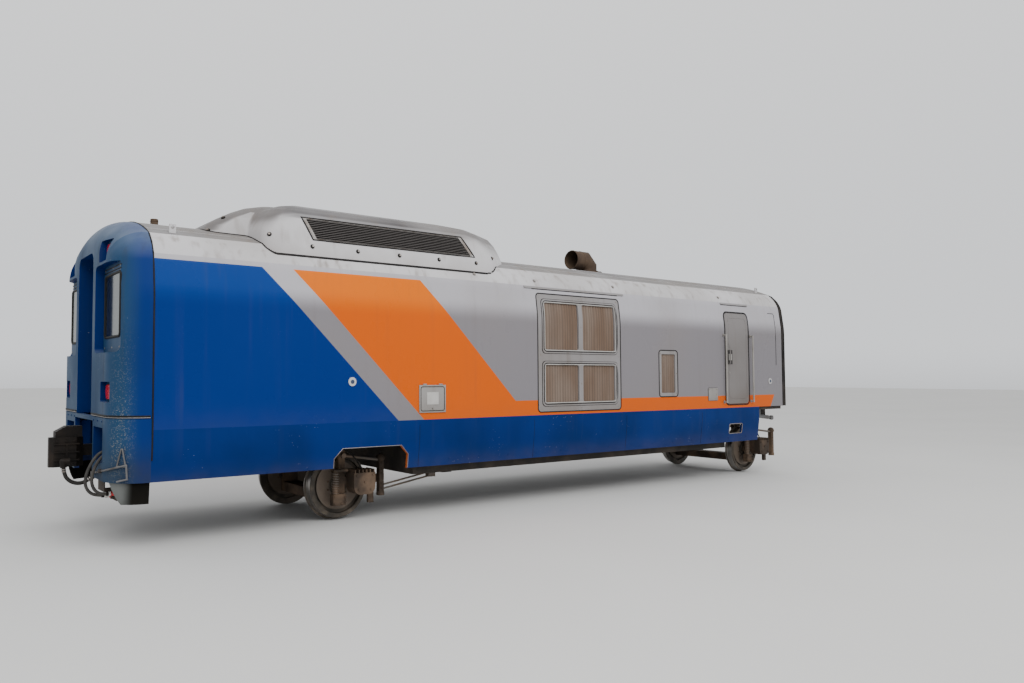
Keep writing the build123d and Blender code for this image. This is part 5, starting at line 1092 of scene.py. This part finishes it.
rings = [[at(x, y, EXHAUST_Z + z) for y, z in circle(EXHAUST_RADIUS, 40)] for x in EXHAUST_RINGS]
beads("exhaust_rings", rings, 0.006, *scaled, closed=True, facets=10)
weld = [at(EXHAUST_X + x, y, EXHAUST_FOOT) for x, y in circle(EXHAUST_RADIUS, 40)]
beads("exhaust_weld", [weld], 0.008, *scaled, closed=True)
flange = [touch(at(EXHAUST_X + x, y, UNDER_ELBOW), (0, 0, -1), "exhaust_stack")
          for x, y in circle(FLANGE_RADIUS, 12)]
bolts("exhaust_bolts", flange, 0.012, 0.012, *scaled)
base = [ceiling(BEACON_X + x, y, "roof_beacon") for x, y in circle(BEACON_BASE, 6)]
bolts("beacon_bolts", base, 0.007, 0.006, *scaled)
bands = [[at(BEACON_X + x, y, z) for x, y in circle(BEACON_RADIUS, 24)] for z in BEACON_BANDS]
beads("beacon_bands", bands, 0.004, *scaled, closed=True)

# Inner end: a grey end wall with its doorway, a plain sliding door with a flush lock, and a rubber
# bellows of three folds that a steel strip clamps round the end of the body.
BELLOWS_CLAMP_X = 12.537
GANGWAY_LOCK = [(14.5, -0.36, z) for z in (2.35, 2.3, 2.25)]
bellows_rubber = matt("bellows_rubber", (0.008, 0.008, 0.008), ROOF_SOIL, 0.14, 0.65)
dress(bellows_rubber, "gangway_bellows")
dress(panel_enamel, "inner_end_wall", "gangway_door")
beads("bellows_clamp", [hoop(BELLOWS_CLAMP_X, 2.0, -16, 212, 48, "gangway_bellows")], 0.006, *steel)
lock = [touch(at(*place), (-1, 0, 0), "gangway_door", "inner_end_wall") for place in GANGWAY_LOCK]
bolts("gangway_door_lock", lock, 0.012, 0.003, *steel, "gangway_door", sides=16, washer=0.02)

# Running gear: a forged fork round each wheel with an air spring on top, a coil at its foot, a finned
# box with its hose, arms and guide rods. All of it is brown with brake dust, greasy where it turns.
GEAR_BROWN = (0.022, 0.018, 0.015)
GEAR_DUST = (0.15, 0.1, 0.066)
COIL = {"Turns": 9.0, "Radius": 0.044, "Height": 0.285, "Wire Radius": 0.007}
COIL_FOOT = 0.35
COIL_OFFSET = -0.125
COIL_ASIDE = 0.9825
AXLES = (("front", 2.7, 0.59), ("rear", 12.16, 0.76))
AXLE_HEIGHT = 0.44
FORK_BOLTS = ((0.0, 0.92), (0.0, 0.7), (0.0, 0.3), (0.0, 0.24), (-0.15, 0.22), (-0.05, 0.22), (-0.15, 0.32))
ARM_BOLTS = (0.38, 0.44, 0.58, 0.64, 0.72)
ROD_BOLTS = ((0.47, 0.505), (0.52, 0.505))
BOX_BOLTS = ((0.12, 0.59), (0.37, 0.59), (0.15, 0.4), (0.34, 0.4), (0.2425, 0.5))
GEAR_HOSE = ((-0.03, 0.93, 0.97), (0.1, 1.0, 0.9), (0.2, 1.03, 0.78), (0.24, 1.04, 0.665))
BELLY_BOLTS = [(x, y, 0.1) for x in (3.8, 5.2, 6.6, 8.0, 9.4, 10.7) for y in (-1.2, -0.8, 0.8, 1.2)]
gear_steel = matt("gear_steel", GEAR_BROWN, GEAR_DUST, 0.75, 0.75, 18.0, 0.002, 0.2)
dress(gear_steel, "running_gear_front", "running_gear_rear", "axle_boxes")
rod_steel = matt("rod_steel", (0.11, 0.1, 0.09), GEAR_DUST, 0.6, 0.55, 40.0, 0.001, 0.4)
dress(rod_steel, "guide_rods")
dress(matt("spring_rubber", (0.013, 0.013, 0.013), BRAKE_DUST, 0.35, 0.7), "air_springs")
coil_tree, given = start_tree("coil", COIL)
helix = {"Rotations": given["Turns"], "Start Radius": given["Radius"], "End Radius": given["Radius"],
         "Height": given["Height"], "Resolution": 20}
helix = put("GeometryNodeCurveSpiral", helix)
wire = put("GeometryNodeCurvePrimitiveCircle", {"Resolution": 8, "Radius": given["Wire Radius"]})
wound = put("GeometryNodeCurveToMesh", {"Curve": helix, "Profile Curve": wire, "Fill Caps": True})
wound = put("GeometryNodeSetShadeSmooth", {0: wound})
stood = put("GeometryNodeInstanceOnPoints", {"Points": given["Geometry"], "Instance": wound})
end_tree(coil_tree, given, stood)
coil_feet = new_mesh("coil_feet", [at(axle_x + COIL_OFFSET, side * COIL_ASIDE, COIL_FOOT)
                                   for _, axle_x, _ in AXLES for _, side in SIDES])
grow("coil_springs", coil_tree, coil_feet, COIL, "coach", "gear_steel", rod_steel)
gear_bolts, hoses = [], []
bend = interpolate_bezier(*GEAR_HOSE, 25)
for axle_name, axle_x, arm_x in AXLES:
    gear = "running_gear_" + axle_name
    spots = [*FORK_BOLTS, *((arm_x, z) for z in ARM_BOLTS), *ROD_BOLTS]
    for _, side in SIDES:
        gear_bolts += [flank(axle_x + x, z, side, gear, "axle_boxes") for x, z in spots]
        gear_bolts += [flank(axle_x + x, z, side, "axle_boxes") for x, z in BOX_BOLTS]
        hoses.append([at(axle_x + x, side * y, z) for x, y, z in bend])
bolts("gear_bolts", gear_bolts, 0.013, 0.012, "gear_steel", gear_steel)
beads("gear_hoses", hoses, 0.01, *rubber, facets=10)
belly_bolts = [touch(at(*place), (0, 0, 1), "belly_pan") for place in BELLY_BOLTS]
bolts("belly_bolts", belly_bolts, 0.009, 0.006, "frame_paint", frame_paint)

# Wheels: rolled steel discs with brake discs bolted to both faces. The web is rust brown under brake
# dust, painted darker still as the shade the wheels stand in; the tread and the flange are polished
# bright by the rail, the brake faces scored bright.
WHEEL_RUST_AND_SHADE = (0.03, 0.024, 0.017)
WHEEL_DUST_AND_SHADE = (0.09, 0.07, 0.05)
TREAD_BRIGHT = (0.3, 0.28, 0.26)
DISC_WORN = (0.13, 0.11, 0.09)
TREAD = 0.434
DISC_RADII = (0.14, 0.325)
DISC_BOLTS = 9
DISC_BOLT_RADIUS = 0.16
WHEEL_MIDDLE = 0.7875
OFF_WHEEL = 0.2
for axle_name, axle_x, _ in AXLES:
    wheel_steel, shader, place = start_material("wheel_" + axle_name)
    hub = at(axle_x, 0, AXLE_HEIGHT)
    reach = put("ShaderNodeVectorMath", {0: place, 1: tuple(hub)}, operation="SUBTRACT")
    reach = put("ShaderNodeVectorMath", {0: reach, 1: (1, 0, 1)}, operation="MULTIPLY")
    reach = put("ShaderNodeVectorMath", {0: reach}, "Value", operation="LENGTH")
    # Partly painted shade: the web's rust and dust tones are darkened for the shade under the body.
    rust = mix(between(cloud(place, 6.0, 8.0), 0.35, 0.7), WHEEL_RUST_AND_SHADE, WHEEL_DUST_AND_SHADE)
    scores = put("ShaderNodeTexNoise", {"W": reach * 160.0}, "Fac", noise_dimensions="1D")
    on_disc = (reach > DISC_RADII[0]) * (reach < DISC_RADII[1])
    on_tread = (reach > TREAD) * between(abs(facing_of(place)[1]), 0.8, 0.4)
    tint = mix(on_disc * 0.7, rust, mix(scores, DISC_WORN, GEAR_DUST))
    feed(shader, {
        "Base Color": mix(on_tread, tint, TREAD_BRIGHT),
        "Metallic": on_tread * 0.9,
        "Roughness": 0.7 - on_tread * 0.4,
    })
    relief(shader, cloud(place, 60.0), 0.001)
    for side_name, side in SIDES:
        wheel = f"wheel_{axle_name}_{side_name}"
        dress(wheel_steel, wheel)
        spots = []
        for face_side in (-1, 1):
            for x, z in circle(DISC_BOLT_RADIUS, DISC_BOLTS):
                around = hub + Vector((x, 0, z))
                around.y = side * WHEEL_MIDDLE + face_side * OFF_WHEEL
                spots.append(touch(around, (0, -face_side, 0), wheel))
        bolts("disc_bolts_" + wheel, spots, 0.009, 0.006, "wheel_steel", gear_steel, wheel)
